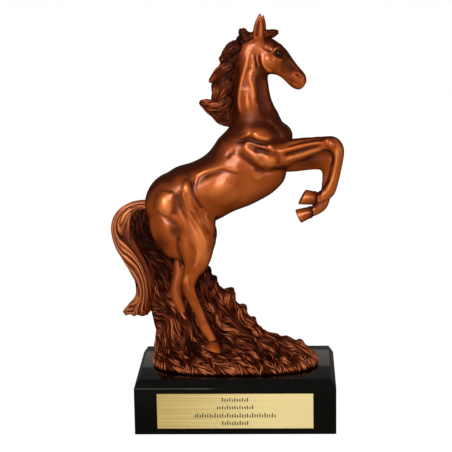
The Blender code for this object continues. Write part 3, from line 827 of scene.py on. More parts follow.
@dataclass
class HairSweep:
    """Geometry nodes that sweep a round strand of hair or grass along drawn paths."""

    half_width: float
    lift: float
    tones: Pair
    seed: int
    sides: int
    group_name: str = "swept_strands"
    lifts: Pair = (0.1, 1.0)
    sizes: Pair = (0.8, 1.2)
    end: float = 0.04
    slenderness: float = 0.6
    sunk: float = 0.25
    tip_tone: float = 0.55

    def paths(self, strands: list[Strand], tone_at: Callable[[Vector], float]) -> bpy.types.Mesh:
        """The strands as lines.

        Args:
            strands: the strands.
            tone_at: brightness of the finish at a place.

        Returns:
            The lines, with their thickness, tone and outward direction as attributes.
        """
        chance = np.random.default_rng(self.seed)
        points, edges, thickness, tones, outwards = [], [], [], [], []
        for strand in strands:
            rise = self.lift * chance.uniform(*self.lifts)
            tone = chance.uniform(*self.tones)
            size = chance.uniform(*self.sizes)
            first = len(points)
            shares = np.linspace(self.end, 1 - self.end, len(strand.places))
            for place, outward, crest, share in zip(strand.places, strand.outwards, strand.crests, shares):
                swell = math.sin(math.pi * share) ** self.slenderness
                points.append((place + outward * (rise * swell - self.sunk * self.half_width)) * MM)
                thickness.append(self.half_width * MM * swell * size)
                tones.append(tone * tone_at(place) * crest * (self.tip_tone + (1 - self.tip_tone) * swell))
                outwards.append(outward)
            edges += [(k, k + 1) for k in range(first, len(points) - 1)]
        mesh = bpy.data.meshes.new("strand_paths")
        mesh.from_pydata(points, edges, [])
        for label, values in (("thickness", thickness), ("tone", tones), ("outward", outwards)):
            paint_points(mesh, label, np.array(values))
        return mesh

    def node_tree(self) -> bpy.types.GeometryNodeTree:
        """The node group, made once.

        Returns:
            The group, with the paths, the strand's sides and its material as inputs.
        """
        if self.group_name in bpy.data.node_groups:
            return bpy.data.node_groups[self.group_name]
        takes = {"Paths": "NodeSocketGeometry", "Sides": "NodeSocketInt", "Finish": "NodeSocketMaterial"}
        wiring = Wiring.group(self.group_name, "GeometryNodeTree", takes, {"Hair": "NodeSocketGeometry"})
        given = wiring.given()

        def named(label: str, kind: str = "FLOAT") -> bpy.types.NodeSocket:
            """A named attribute of the geometry."""
            node = wiring.node("GeometryNodeInputNamedAttribute", {"Name": label}, data_type=kind)
            return node.outputs["Attribute"]

        def stored(geometry: bpy.types.NodeSocket, label: str, value: Feed) -> bpy.types.NodeSocket:
            """Geometry with a value kept on its points."""
            inputs = {"Geometry": geometry, "Name": label, "Value": value}
            return wiring.node("GeometryNodeStoreNamedAttribute", inputs).outputs["Geometry"]

        curves = wiring.node("GeometryNodeMeshToCurve", {"Mesh": given["Paths"]}).outputs["Curve"]
        inputs = {"Curve": curves, "Normal": named("outward", "FLOAT_VECTOR")}
        upright = wiring.node("GeometryNodeSetCurveNormal", inputs, mode="FREE").outputs["Curve"]
        inputs = {"Resolution": given["Sides"], "Radius": 1}
        ring = wiring.node("GeometryNodeCurvePrimitiveCircle", inputs).outputs["Curve"]
        place = wiring.node("GeometryNodeInputPosition", {}).outputs["Position"]
        inputs = {"Curve": upright, "Profile Curve": stored(ring, "crown", wiring.part(place, "X")),
                  "Scale": named("thickness"), "Fill Caps": True}
        swept = wiring.node("GeometryNodeCurveToMesh", inputs).outputs["Mesh"]
        high = wiring.ramp(named("crown"), (-1, 1), kind="LINEAR")
        ridged = stored(swept, "ridge", wiring.math("MULTIPLY", high, named("tone")))
        real = wiring.node("GeometryNodeRealizeInstances", {"Geometry": ridged}).outputs["Geometry"]
        inputs = {"Geometry": real, "Material": given["Finish"]}
        coated = wiring.node("GeometryNodeSetMaterial", inputs).outputs["Geometry"]
        wiring.node("NodeGroupOutput", {"Hair": coated})
        return wiring.tree

    def mesh(self, name: str, strands: list[Strand], material: bpy.types.Material,
             tone_at: Callable[[Vector], float]) -> bpy.types.Mesh:
        """The swept strands as one mesh.

        Args:
            name: the mesh's name.
            strands: the paths.
            material: the finish.
            tone_at: brightness of the finish at a place.

        Returns:
            The mesh, with its ridge mask.
        """
        holder = add_object(name, self.paths(strands, tone_at))
        sweep = holder.modifiers.new("sweep", "NODES")
        sweep.node_group = self.node_tree()
        values = {"Sides": self.sides, "Finish": material}
        for socket in sweep.node_group.interface.items_tree:
            if socket.name in values:
                sweep[socket.identifier] = values[socket.name]
        ready = holder.evaluated_get(bpy.context.evaluated_depsgraph_get())
        swept = bpy.data.meshes.new_from_object(ready)
        holder.modifiers.remove(sweep)
        bpy.data.objects.remove(holder)
        swept.name = name
        swept.shade_smooth()
        return swept


def new_finish(name: str,
               constants: dict[str, Feed]) -> tuple[bpy.types.Material, Wiring, bpy.types.NodeInputs]:
    """New material with constants set on its Principled shader's own sockets.

    Args:
        name: the material's name.
        constants: the sockets and their values.

    Returns:
        The material, its wiring and its shader's inputs.
    """
    finish = bpy.data.materials.new(name)
    finish.use_nodes = True
    shader = finish.node_tree.nodes["Principled BSDF"].inputs
    wiring = Wiring(finish.node_tree)
    for label, value in constants.items():
        wiring.feed(shader[label], value)
    return finish, wiring, shader


@dataclass(frozen=True)
class AgedBronze:
    """Glossy antique bronze paint on cast resin, dark in hollows, rubbed bright on ridges; its mask adds
    painted light.
    """

    name: str
    dark: Colour
    middle: Colour
    bright: Colour
    mottle: float = 0.16
    mottle_scale: float = 70
    roughness: Pair = (0.50, 0.40)
    metallic: float = 0.45
    coat: float = 0.58
    grain: float = 0.12
    gloss: float = 0.3
    group_name: str = "aged_bronze"
    dark_to_middle: Pair = (0.12, 0.55)
    middle_to_bright: Pair = (0.5, 1.0)
    mottle_detail: float = 3
    grain_scale: float = 1400
    grain_detail: float = 2
    grain_depth: float = 0.0001
    ripple_scale: float = 230
    ripple_detail: float = 1
    ripple_height: float = 9
    coat_ramp: Pair = (0.12, 0.5)
    coat_in_hollows: float = 0.12
    coat_roughness: float = 0.18

    def group(self) -> bpy.types.ShaderNodeTree:
        """The paint as a node group, made once.

        Returns:
            The group, which gives a colour, a roughness and a height.
        """
        if self.group_name in bpy.data.node_groups:
            return bpy.data.node_groups[self.group_name]
        number, colour = "NodeSocketFloat", "NodeSocketColor"
        takes = {"Ridge": number, "Mottle": number, "Mottle Scale": number, "Grain Scale": number,
                 "Dark": colour, "Middle": colour, "Bright": colour,
                 "Roughness In Hollows": number, "Roughness On Ridges": number}
        gives = {"Color": colour, "Roughness": number, "Height": number}
        wiring = Wiring.group(self.group_name, "ShaderNodeTree", takes, gives)
        given = wiring.given()
        place = wiring.place()
        mottle = wiring.noise(place, given["Mottle Scale"], self.mottle_detail)
        grain = wiring.noise(place, given["Grain Scale"], self.grain_detail)
        ripple = wiring.noise(place, self.ripple_scale, self.ripple_detail)
        patches = wiring.math("MULTIPLY", wiring.math("SUBTRACT", mottle, 0.5), given["Mottle"])
        mask = wiring.math("ADD", given["Ridge"], patches)
        low = wiring.ramp(mask, self.dark_to_middle)
        high = wiring.ramp(mask, self.middle_to_bright)
        first = wiring.mix(low, given["Dark"], given["Middle"])
        ends = {0: low, 2: given["Roughness In Hollows"], 3: given["Roughness On Ridges"]}
        rough = wiring.node("ShaderNodeMix", ends).outputs[0]
        height = wiring.math("ADD", grain, wiring.math("MULTIPLY", ripple, self.ripple_height))
        color = wiring.mix(high, first, given["Bright"])
        wiring.node("NodeGroupOutput", {"Color": color, "Roughness": rough, "Height": height})
        return wiring.tree

    def material(self) -> bpy.types.Material:
        """The finish as a material that reads the ridge mask painted on the piece.

        Returns:
            The material.
        """
        finish, wiring, shader = new_finish(self.name, {
            "Metallic": self.metallic, "Coat Roughness": self.coat_roughness,
            "Specular IOR Level": self.gloss})
        # the ridge mask holds patina and, on some pieces, painted shade and painted highlights
        mask = wiring.node("ShaderNodeAttribute", {}, attribute_name="ridge").outputs["Fac"]
        values = {"Ridge": mask, "Mottle": self.mottle, "Mottle Scale": self.mottle_scale,
                  "Grain Scale": self.grain_scale, "Dark": (*self.dark, 1), "Middle": (*self.middle, 1),
                  "Bright": (*self.bright, 1), "Roughness In Hollows": self.roughness[0],
                  "Roughness On Ridges": self.roughness[1]}
        bronze = wiring.node("ShaderNodeGroup", values, node_tree=self.group())
        wiring.feed(shader["Base Color"], bronze.outputs["Color"])
        wiring.feed(shader["Roughness"], bronze.outputs["Roughness"])
        worn = wiring.ramp(mask, self.coat_ramp, (self.coat_in_hollows * self.coat, self.coat))
        wiring.feed(shader["Coat Weight"], worn)
        wiring.feed(shader["Normal"], wiring.bump(bronze.outputs["Height"], self.grain, self.grain_depth))
        return finish


@dataclass(frozen=True)
class GlossBlack:
    """Deep black lacquer with faint polishing haze."""

    name: str
    colour: Colour = (0.002, 0.002, 0.002)
    roughness: Pair = (0.04, 0.10)
    ior: float = 1.42
    haze_scale: float = 55
    haze_detail: float = 4
    roughness_ramp: Pair = (0.35, 0.7)
    tint_ramp: Pair = (0.3, 0.75)
    tint: float = 1.8

    def material(self) -> bpy.types.Material:
        """The finish as a material.

        Returns:
            The material.
        """
        finish, wiring, shader = new_finish(self.name, {"IOR": self.ior, "Metallic": 0})
        haze = wiring.noise(wiring.place(), self.haze_scale, self.haze_detail)
        wiring.feed(shader["Roughness"], wiring.ramp(haze, self.roughness_ramp, self.roughness))
        tint = tuple(c * self.tint for c in self.colour)
        wiring.feed(shader["Base Color"], wiring.mix(wiring.ramp(haze, self.tint_ramp), self.colour, tint))
        return finish


@dataclass(frozen=True)
class BrushedGold:
    """Gold-coloured plate brushed along its length, dark paint sunk in its strokes, and a painted reflection
    on its right.
    """

    name: str
    face: float
    colour: Colour = (1.0, 0.90, 0.50)
    # darker end of the brushing and of the painted reflection
    shade: Colour = (0.55, 0.40, 0.12)
    ink: Colour = (0.012, 0.010, 0.008)
    roughness: Pair = (0.55, 0.42)
    metallic: float = 0.45
    stretch: Triple = (14, 600, 3600)
    hair_detail: float = 3
    hair_ramp: Pair = (0.3, 0.7)
    hair_light: float = 0.45
    ink_from: float = 0.00003
    ink_full: float = 0.00012
    # painted reflection: the plate grows lighter towards its right end
    painted_glare_ramp: Pair = (-0.06, 0.045)
    painted_glare: float = 0.95
    bump: float = 0.25
    bump_depth: float = 0.00004

    def material(self) -> bpy.types.Material:
        """The finish as a material.

        Returns:
            The material.
        """
        finish, wiring, shader = new_finish(self.name, {"Metallic": self.metallic})
        place = wiring.place()
        stretched = wiring.node("ShaderNodeMapping", {"Vector": place, "Scale": self.stretch})
        hairs = wiring.noise(stretched.outputs["Vector"], 1, self.hair_detail)
        sunk = wiring.ramp(wiring.part(place, "Y"), (self.face + self.ink_from, self.face + self.ink_full))
        # painted reflection lightening the plate to the right, added to the brushed hairs
        painted_glare = wiring.ramp(wiring.part(place, "X"), self.painted_glare_ramp, (0, self.painted_glare))
        hairs_and_painted_glare = wiring.math("ADD", wiring.ramp(hairs, self.hair_ramp, (0, self.hair_light)), painted_glare)
        brushed = wiring.mix(hairs_and_painted_glare, self.shade, self.colour)
        wiring.feed(shader["Base Color"], wiring.mix(sunk, brushed, self.ink))
        wiring.feed(shader["Roughness"], wiring.ramp(hairs, self.hair_ramp, self.roughness))
        wiring.feed(shader["Normal"], wiring.bump(hairs, self.bump, self.bump_depth))
        return finish


@dataclass(frozen=True)
class PaleFloor:
    """Matt white paper under the trophy."""

    name: str = "pale_paper"
    colour: Colour = (0.12, 0.12, 0.12)
    glow: float = 0.98
    roughness: float = 0.9
    gloss: float = 0.1

    def material(self) -> bpy.types.Material:
        """The finish as a material.

        Returns:
            The material.
        """
        finish, wiring, shader = new_finish(self.name, {
            "Roughness": self.roughness, "Specular IOR Level": self.gloss, "Emission Strength": self.glow,
            "Base Color": (*self.colour, 1)})
        seen = wiring.node("ShaderNodeLightPath", {}).outputs["Is Camera Ray"]
        wiring.feed(shader["Emission Color"], wiring.mix(seen, (0, 0, 0), (1, 1, 1)))
        return finish


def fused_meshes(name: str, *parts: bpy.types.Mesh) -> bpy.types.Mesh:
    """Several meshes as one smooth mesh.

    Args:
        name: its name.
        *parts: the meshes.

    Returns:
        The mesh, with their painted values.
    """
    whole = bmesh.new()
    for part in parts:
        whole.from_mesh(part)
    mesh = bpy.data.meshes.new(name)
    whole.to_mesh(mesh)
    whole.free()
    mesh.shade_smooth()
    return mesh


def add_piece(name: str, mesh: bpy.types.Mesh, material: bpy.types.Material, slot: str,
              *replaced: str) -> bpy.types.Object:
    """Object of a finished piece that rides on the trophy.

    Args:
        name: the piece's name.
        mesh: its mesh, in metres.
        material: its finish.
        slot: not used.
        *replaced: the solids that it stands for.

    Returns:
        The object.
    """
    mesh.materials.clear()
    mesh.materials.append(material)
    piece = add_object(name, mesh)
    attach(piece, "root")
    if replaced:
        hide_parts(*replaced)
    LOG.info("%s: %d triangles", name, sum(len(face.vertices) - 2 for face in mesh.polygons))
    return piece


@dataclass
class Camera:
    """The camera that looks at the trophy as in the photograph; its place is in millimetres."""

    place: Triple = (36.02, -1082.28, 376.39)
    yaw: float = 0.03844
    pitch: float = 0.22479
    roll: float = -0.01512
    lens: float = 135.9
    sensor: float = 36

    def eye(self) -> Vector:
        """Where it stands, in millimetres."""
        return Vector(self.place)

    def build(self) -> bpy.types.Object:
        """The camera, which becomes the scene's own.

        Returns:
            The object.
        """
        yaw, pitch = self.yaw, self.pitch
        ahead = Vector((-math.sin(yaw) * math.cos(pitch), math.cos(yaw) * math.cos(pitch), -math.sin(pitch)))
        level = Vector((math.cos(yaw), math.sin(yaw), 0))
        up = level.cross(ahead)
        right = level * math.cos(self.roll) + up * math.sin(self.roll)
        over = up * math.cos(self.roll) - level * math.sin(self.roll)
        data = bpy.data.cameras.new("camera")
        data.sensor_width = self.sensor
        data.lens = self.lens
        camera = add_object("camera", data)
        turned = Matrix((right, over, -ahead)).transposed().to_4x4()
        camera.matrix_world = Matrix.Translation(self.eye() * MM) @ turned
        bpy.context.scene.camera = camera
        return camera


@dataclass(frozen=True)
class Flesh:
    """Creases, ridges, swellings and hollows of the horse, as the side view shows them."""

    shoulder: Marks = (
        Pad(2.4, (20, 189.4), (10.4, 8.2), -14, 2),
        Line(1.5, (1.2, 0.9), ((2.4, 184.6), (6, 185.2), (10, 186), (14.6, 184.4), (20, 183.6),
            (25.4, 184.8), (29, 187.4))),
        Line(-0.8, (0.8, 0.9), ((3.8, 186), (6.6, 187.8), (9.8, 188.8))),
        Line(-0.7, (1.6, 0.8), ((12.6, 191), (14.2, 188), (17.6, 186), (24, 185.9))),
        Line(-0.7, (1.5, 1.8), ((6, 183.6), (12, 183.6), (18, 181.8), (22.4, 180.2))),
        Line(-0.9, (2.4, 1.8), ((6, 182.4), (9, 179), (12.4, 175.4), (16, 171.4), (19.6, 167.6))),
        Line(1.3, (1.2, 1.5), ((13, 180), (16.6, 179), (20.4, 178), (24, 176.2), (26, 174))),
        Line(-0.7, (0.9, 0.6), ((14, 181), (19, 180.2), (23, 178.8))),
        Pad(1.3, (22.4, 170.8), (6, 6), -20, 1),
        Line(1.3, (0.9, 0.9), ((26.2, 177.6), (28.6, 173.6), (29.2, 168.4))),
        Line(-0.8, (0.9, 1.4), ((23.6, 184), (24.4, 181), (26.6, 177.6))),
        Line(1.2, (2.8, 0.9), ((0.6, 177.4), (5.6, 173.2), (10, 169.2), (14, 166), (19, 164.4),
            (25, 164.3), (29.6, 165.8), (35, 168.6))),
        Line(-0.9, (0.6, 0.8), ((1.4, 176.6), (5, 173.2), (9.4, 169.2), (12.8, 166))),
        Line(0.6, (1.2, 1.2), ((-4, 173.6), (-2.6, 176.8), (0.8, 178.2))),
        Pad(0.9, (15.6, 161.6), (3.8, 3.4), 0, 0.9),
        Line(0.7, (0.5, 0.5), ((13.6, 163.2), (15.6, 162.6), (18, 163.2))))
    ribs: Marks = (
        Line(-1.2, (4.6, 1.0), ((-27, 160.6), (-22, 163.8), (-16, 165.6), (-11, 166.8), (-7, 167.8),
            (-2, 166.4), (5, 164.4))),
        Line(0.5, (1.0, 1.8), ((-21, 162), (-14, 163.8), (-7.4, 165.6), (-2, 164.4), (4, 162.8))),
        Pad(1.1, (-11, 156.4), (15.6, 8.2), 28, 0.9),
        Line(-0.8, (0.8, 1.2), ((-19, 164), (-23, 161.4), (-25.2, 157), (-25.6, 152), (-23.6, 146.8))),
        Line(1.1, (0.8, 1.0), ((-27, 159.6), (-26.9, 153.6), (-25.8, 148.4), (-23.4, 143.8), (-19.6, 139.4))),
        Pad(1.3, (-30.4, 155), (3.6, 5), 0, 0.8),
        Line(-1.0, (0.9, 0.9), ((-33.6, 154), (-32.8, 148), (-30.8, 141.6), (-27.8, 135), (-24.6, 129.4),
            (-21.6, 123.4), (-19.6, 117), (-19.4, 110))),
        Line(-0.8, (0.9, 1.2), ((-27.9, 153), (-26.8, 147.4), (-24.2, 142.8), (-20.4, 138.4))),
        Line(0.8, (2.0, 1.8), ((-26.4, 141.4), (-22.6, 136), (-19, 129.6), (-16.4, 123))),
        Line(0.7, (1.4, 1.4), ((-35.4, 152.6), (-34.8, 147), (-33.4, 141))),
        Line(0.4, (1.2, 1.6), ((-17, 137), (-15, 133.6), (-14.6, 130))))
    rump: Marks = (
        Line(-1.0, (1.1, 6.5), ((-39.6, 152), (-40.6, 146), (-41.8, 140), (-44, 136.4))),
        Line(1.2, (1.0, 1.0), ((-51.6, 138.4), (-46.6, 135.6), (-42, 132.6), (-37.4, 129.8))),
        Pad(0.9, (-46, 125), (5.4, 9), 16, 1.4),
        Pad(-1.3, (-38.2, 125), (6, 8), 20, 2),
        Line(-0.9, (0.9, 2.6), ((-35.8, 141.6), (-34, 137), (-31.4, 131.6), (-28.8, 126), (-27.2, 119.6),
            (-27, 114))),
        Line(1.4, (1.3, 1.2), ((-36.6, 122.6), (-37.6, 115.6), (-36, 108), (-34.6, 100))),
        Line(0.6, (0.7, 0.9), ((-28.8, 118.4), (-26.8, 113), (-24.8, 108.4))),
        Pad(0.8, (-21, 120.6), (5.4, 10), 8, 1.2),
        Pad(0.8, (-31.6, 112), (3.2, 10), 4, 1.2),
        Line(0.8, (1.2, 1.4), ((-25.4, 106), (-27.4, 100.4), (-27.6, 95))),
        Line(-0.6, (0.9, 0.9), ((-32.6, 104), (-33.4, 98), (-33.6, 92), (-31.6, 86), (-28, 78),
            (-24.4, 70)), NEAR),
        Line(0.8, (0.7, 0.8), ((-30.4, 102), (-31.2, 95), (-30, 88.4), (-26.4, 80.6), (-22.6, 72),
            (-19.8, 65)), NEAR),
        Line(-0.4, (0.8, 0.8), ((-29, 92), (-26.6, 84), (-22.8, 76), (-19.6, 68)), NEAR),
        Pad(0.8, (-34, 92), (2.4, 4), 0, 1, NEAR))
    neck: Marks = (
        Line(-0.75, (0.6, 1.1), ((10.6, 240), (9.6, 236), (8, 231), (6.2, 225), (4.4, 217.6), (3.7, 210.6),
            (4.8, 203))),
        Line(-0.7, (1.1, 0.7), ((13.4, 240), (13.8, 235), (12.4, 230), (11, 225.4), (12.6, 219.4),
            (13.4, 213), (13.2, 206))),
        Pad(0.6, (9.4, 209.8), (2.3, 6.4), 4, 1),
        Line(0.6, (2.2, 2.2), ((11.4, 233), (8.6, 224), (8.2, 218))),
        Line(1.1, (2.8, 2.8), ((17, 228), (17.2, 219), (18, 211), (20, 205), (24.4, 200))),
        Line(-0.3, (1.6, 1.8), ((20.6, 226), (21.6, 216), (23.6, 208), (27, 200.6))),
        Line(0.9, (1.8, 1.4), ((2.8, 236), (2, 226), (0.8, 212), (1.6, 198))),
        Line(-0.4, (1.0, 1.8), ((22.6, 198.8), (25.6, 196.4), (28.6, 193.4))),
        Line(0.8, (1.4, 1.4), ((20, 198.6), (25, 194.4), (29.4, 189.4), (30.6, 184.6))))
    face: Marks = (
        Pad(-1.5, (30.4, 240.8), (4.8, 3.8), 10, 1.2),
        Line(-1.1, (0.9, 0.7), ((25.4, 241.4), (27.2, 243.4), (30, 245.6), (33, 246))),
        Line(-1.0, (0.6, 0.7), ((25.8, 240.4), (27.6, 238.8), (30, 237.4), (32.6, 237.2))),
        Line(-0.4, (0.9, 0.9), ((21.6, 245.8), (23.6, 244.6), (25.6, 243.6))),
        Line(-0.35, (0.9, 0.9), ((18.4, 242.8), (21, 243.2), (24, 241.8))),
        Line(0.7, (0.7, 0.7), ((19.4, 244.6), (22, 243.9), (25.4, 242.6))),
        Pad(0.9, (23.6, 236.4), (5.4, 6.2), 0, 1),
        Line(-0.8, (0.7, 1.0), ((18.4, 241.4), (18.6, 237.4), (20, 233.4), (22.6, 230.4), (26, 228.9))),
        Line(1.3, (0.6, 0.6), ((17.4, 240.6), (17.3, 236.4), (18.6, 232.4), (21, 229.4))),
        Line(-1.0, (0.5, 0.5), ((15.8, 239.8), (16, 236), (17.2, 232.6))),
        Line(1.1, (0.5, 0.5), ((14.8, 240.2), (14.9, 236.4), (16, 232.6))),
        Line(-0.7, (0.5, 0.5), ((13.6, 240.4), (13.6, 237), (14.3, 234))),
        Line(0.35, (1.9, 2.4), ((31.6, 236.6), (35, 234.4), (38.4, 231.4))),
        Line(-0.5, (0.9, 0.9), ((32.4, 241), (36, 237.4), (40, 233.4), (44, 229.4))),
        Line(0.4, (1.2, 1.6), ((31.6, 234), (32.4, 231), (31.4, 228.4))),
        Line(-0.5, (0.7, 0.6), ((38.6, 229.2), (41.4, 228.6), (44.4, 226), (46, 223.2))),
        Line(-0.4, (0.6, 0.6), ((38.8, 228), (41, 225.8), (44, 223.4), (45.8, 222.6))),
        Line(1.3, (0.7, 0.7), ((40.4, 227.8), (42.4, 226.8), (44.4, 224.6))),
        Line(1.1, (0.5, 0.5), ((35.8, 224.8), (38.6, 222.6), (41.6, 220.8), (44.6, 219.8))),
        Line(0.5, (0.7, 0.7), ((34.4, 225), (36.6, 222.4), (38, 219.6))),
        Line(1.5, (1.0, 0.8), ((15.4, 250.6), (15.8, 256), (17, 260.6), (18.2, 264))),
        Line(-0.6, (0.8, 0.8), ((18.6, 250), (18.8, 256), (19, 261.6))),
        Line(0.7, (1.4, 1.4), ((12, 249), (14.6, 249.4), (17, 249.6))))
    foreleg: Marks = (
        Line(-0.9, (1.0, 1.3), ((28, 177.4), (34, 178.9), (42, 181.2), (50, 182.7), (57.6, 183.6)), NEAR),
        Line(1.0, (1.0, 1.2), ((32, 175.4), (40, 177.4), (49, 180), (57.6, 181.4)), NEAR),
        Line(-0.8, (1.0, 1.2), ((33, 172.2), (41, 174.4), (49, 177), (57, 179.4)), NEAR),
        Line(0.8, (0.9, 0.9), ((34, 180.8), (42, 183.2), (52, 185), (60, 186)), NEAR),
        Line(1.0, (1.0, 1.0), ((57, 177.6), (60.4, 177), (62.8, 173.6), (62.4, 169)), NEAR),
        Pad(1.0, (62.8, 182.4), (2.6, 2.8), 0, 1, NEAR),
        Line(0.7, (0.8, 0.8), ((60.4, 184.6), (60, 181.4), (61.4, 178.8)), NEAR),
        Line(0.6, (0.8, 0.8), ((65.6, 185.4), (66, 181.6), (65.6, 178)), NEAR),
        Line(-0.9, (0.9, 0.9), ((66.6, 177), (66, 170), (64.6, 163), (62.4, 156), (60.4, 151.6)), NEAR),
        Line(0.9, (0.8, 0.8), ((64.2, 176), (63.6, 169), (62, 162), (59.6, 155.4)), NEAR),
        Line(-0.5, (0.7, 0.7), ((61.8, 168), (60, 161), (57.4, 155)), NEAR),
        Line(1.2, (0.8, 0.8), ((55.4, 151.4), (54.2, 148.4), (55.6, 145.4)), NEAR),
        Line(-0.6, (0.7, 0.7), ((57.4, 150.6), (56.4, 148), (57.8, 145.6)), NEAR),
        Line(0.9, (0.6, 0.6), ((51.8, 151.4), (51.2, 147.4), (51.6, 143.4)), NEAR),
        Line(-0.5, (0.8, 0.8), ((46.6, 150.6), (46.2, 147), (47.6, 143.8)), NEAR))

    def marks(self) -> Marks:
        """All of them, in the order in which they are carved."""
        return self.shoulder + self.ribs + self.rump + self.neck + self.face + self.foreleg


@dataclass(frozen=True)
class PatinaAndPaintedLight:
    """Dark patina in the creases and hollows, painted shade and painted highlights, as the side view shows
    them.
    """

    # positive depths and negative rises darken, negative depths and positive rises lighten
    marks: Marks = (
        # painted shade along the mane's edge, in the throat groove, under the jaw and at the neck base
        Line(0.8, (2.2, 2.6), ((3.4, 243), (4, 234), (2, 222), (0.6, 210), (-0.6, 198))),
        Line(0.85, (1.8, 1.8), ((17, 231), (17.4, 219), (18.2, 211), (20.4, 204.6), (25, 199.4),
            (29, 193.6))),
        Line(0.5, (1.6, 1.6), ((14, 237), (16.4, 231.6), (21, 228.4), (27, 227.4))),
        Pad(-0.32, (10, 199.6), (17, 10)),
        # painted highlights: light lines on the neck's ridges and a highlight streak on the neck
        Line(-1.0, (0.45, 0.45), ((9.8, 238), (8.4, 232), (6.2, 225), (4.4, 217), (3.8, 210), (4.8, 203))),
        Line(-1.0, (0.45, 0.45), ((13.8, 237), (12.4, 230), (11, 225.4), (12.6, 219.4), (13.4, 211))),
        Pad(0.5, (9.2, 209.6), (2.2, 6)),
        # painted shade under the facial crest and round the eye, patina in the jowl creases, painted
        # highlights on the jowl rims and the lower lid
        Line(0.45, (1.5, 1.8), ((31, 237.4), (35, 233.8), (39.4, 229.6))),
        Pad(-1.1, (31.2, 240.8), (6.6, 4.8), -15, 1),
        Line(0.6, (0.35, 0.35), ((17.4, 240.6), (17.3, 236.4), (18.6, 232.4), (21, 229.4))),
        Line(-0.9, (0.32, 0.32), ((18.7, 241), (18.8, 237.4), (20.2, 233.4), (22.8, 230.6), (26, 229.3))),
        Line(0.5, (0.3, 0.3), ((14.8, 240.2), (14.9, 236.4), (16, 232.6))),
        Line(-0.8, (0.28, 0.28), ((16, 239.8), (16.1, 236), (17.3, 232.6))),
        Line(-0.8, (0.3, 0.3), ((26, 240.2), (27.8, 238.6), (30.2, 237.2), (32.8, 237))),
        Line(0.6, (0.9, 0.9), ((35.6, 222), (39, 219.6), (43, 218.6))),
        # painted shade beside the nose and above the eye, and a painted shadow under the forelock
        Pad(-0.35, (37.6, 229), (13, 9), -45),
        Pad(-0.35, (34, 240), (5, 9), 40, 1),
        Pad(-0.3, (22, 250), (7, 4), 0, 1),
        Line(0.6, (0.9, 1.8), ((14.6, 251), (14.8, 257), (16.6, 263))),
        # patina in the shoulder and elbow creases and the elbow pocket, and a painted highlight on the
        # triceps
        Line(0.5, (1.3, 1.7), ((1, 184.4), (6, 185), (10, 186), (14.6, 184.4), (20, 183.6), (25.4, 184.8),
            (29, 187.4))),
        Pad(-0.5, (18.6, 178.8), (6.6, 2.8), -14),
        Line(0.35, (1.8, 1.0), ((2, 179), (6, 175.4), (10, 171.6), (15, 168.2), (22, 166.4))),
        Pad(0.45, (22, 171), (6, 6)),
        # painted shade on the chest, at the neck base and on the far foreleg
        Pad(-0.6, (32, 189.6), (4.4, 8)),
        Pad(-0.25, (2, 193), (9, 8), 8),
        Pad(-0.5, (46, 168), (17, 6), 0, 1),
        # painted highlight lines on the shoulder's lip, the elbow's edges, the rib edge and the flank knob
        Line(-1.0, (0.4, 0.4), ((12.4, 190.6), (14, 188), (17.6, 186.3), (23, 186))),
        Line(-0.9, (0.32, 0.32), ((1.6, 176.8), (5, 173.4), (9.4, 169.4), (13, 166.2))),
        Line(-0.6, (0.5, 0.5), ((6, 182.6), (9, 179), (12.4, 175.4), (16, 171.4), (19.6, 167.6))),
        Line(-0.8, (0.4, 0.4), ((-26, 161.3), (-19, 164.3), (-13, 166), (-8, 167.5), (-2, 166.2),
            (4, 164.8))),
        Line(-0.7, (0.6, 0.6), ((-31.4, 157), (-30.4, 150), (-28.2, 142), (-24.6, 135), (-21, 128))),
        Line(0.7, (1.0, 1.0), ((31, 175), (40, 177.2), (49, 179.8), (57, 181.4)), NEAR),
        Line(0.7, (1.1, 1.1), ((62.6, 176), (62.4, 168), (60, 160), (57, 152)), NEAR),
        # painted highlights on the ribs, the barrel and the rump, with patina in the flank and thigh creases
        Pad(0.4, (-11, 155), (17, 10), 28),
        Pad(0.3, (8, 152), (20, 12), 35),
        Line(0.25, (1.2, 1.4), ((-27, 159), (-26.6, 152), (-24.6, 146), (-20, 140))),
        Pad(0.8, (-45, 142), (6, 12)),
        Line(0.45, (1.6, 1.6), ((-37.6, 151), (-38, 143), (-39.6, 136))),
        Pad(-0.3, (-38.4, 126), (8, 8)),
        Line(0.25, (1.8, 1.8), ((-38.4, 122), (-37.4, 112), (-36, 104), (-34.4, 98))),
        # painted highlight on the thigh, and painted highlight streaks along the thigh, the cannons and the
        # forearm
        Pad(0.7, (-22, 117), (7, 20), 10),
        Line(-1.1, (0.45, 0.45), ((-31, 135), (-26.6, 126), (-23.6, 117), (-24, 108), (-27.4, 100))),
        Line(-1.1, (0.36, 0.36), ((-31, 98), (-31.4, 91), (-28.6, 84), (-24.8, 75.6), (-20.4, 64)), NEAR),
        Line(-1.2, (0.42, 0.42), ((66.6, 180), (65.8, 172), (64.2, 164), (61.8, 156), (59.6, 151)), NEAR),
        Line(-0.7, (0.6, 0.6), ((32, 172.2), (41, 174.6), (49, 177.2), (57, 179.8)), NEAR),
        Line(-0.6, (0.6, 0.6), ((30, 178.4), (42, 181.4), (57, 184)), NEAR),
        # painted shade at the back of the thigh, along the hind cannon's edge and on the far hind leg
        Pad(-0.5, (-48, 116), (8, 14)),
        Line(0.6, (1.1, 1.1), ((-33, 92), (-30, 84), (-26, 76), (-22.6, 68), (-20, 60)), NEAR),
        Pad(-0.45, (-42, 96), (5, 18), 0, 1))


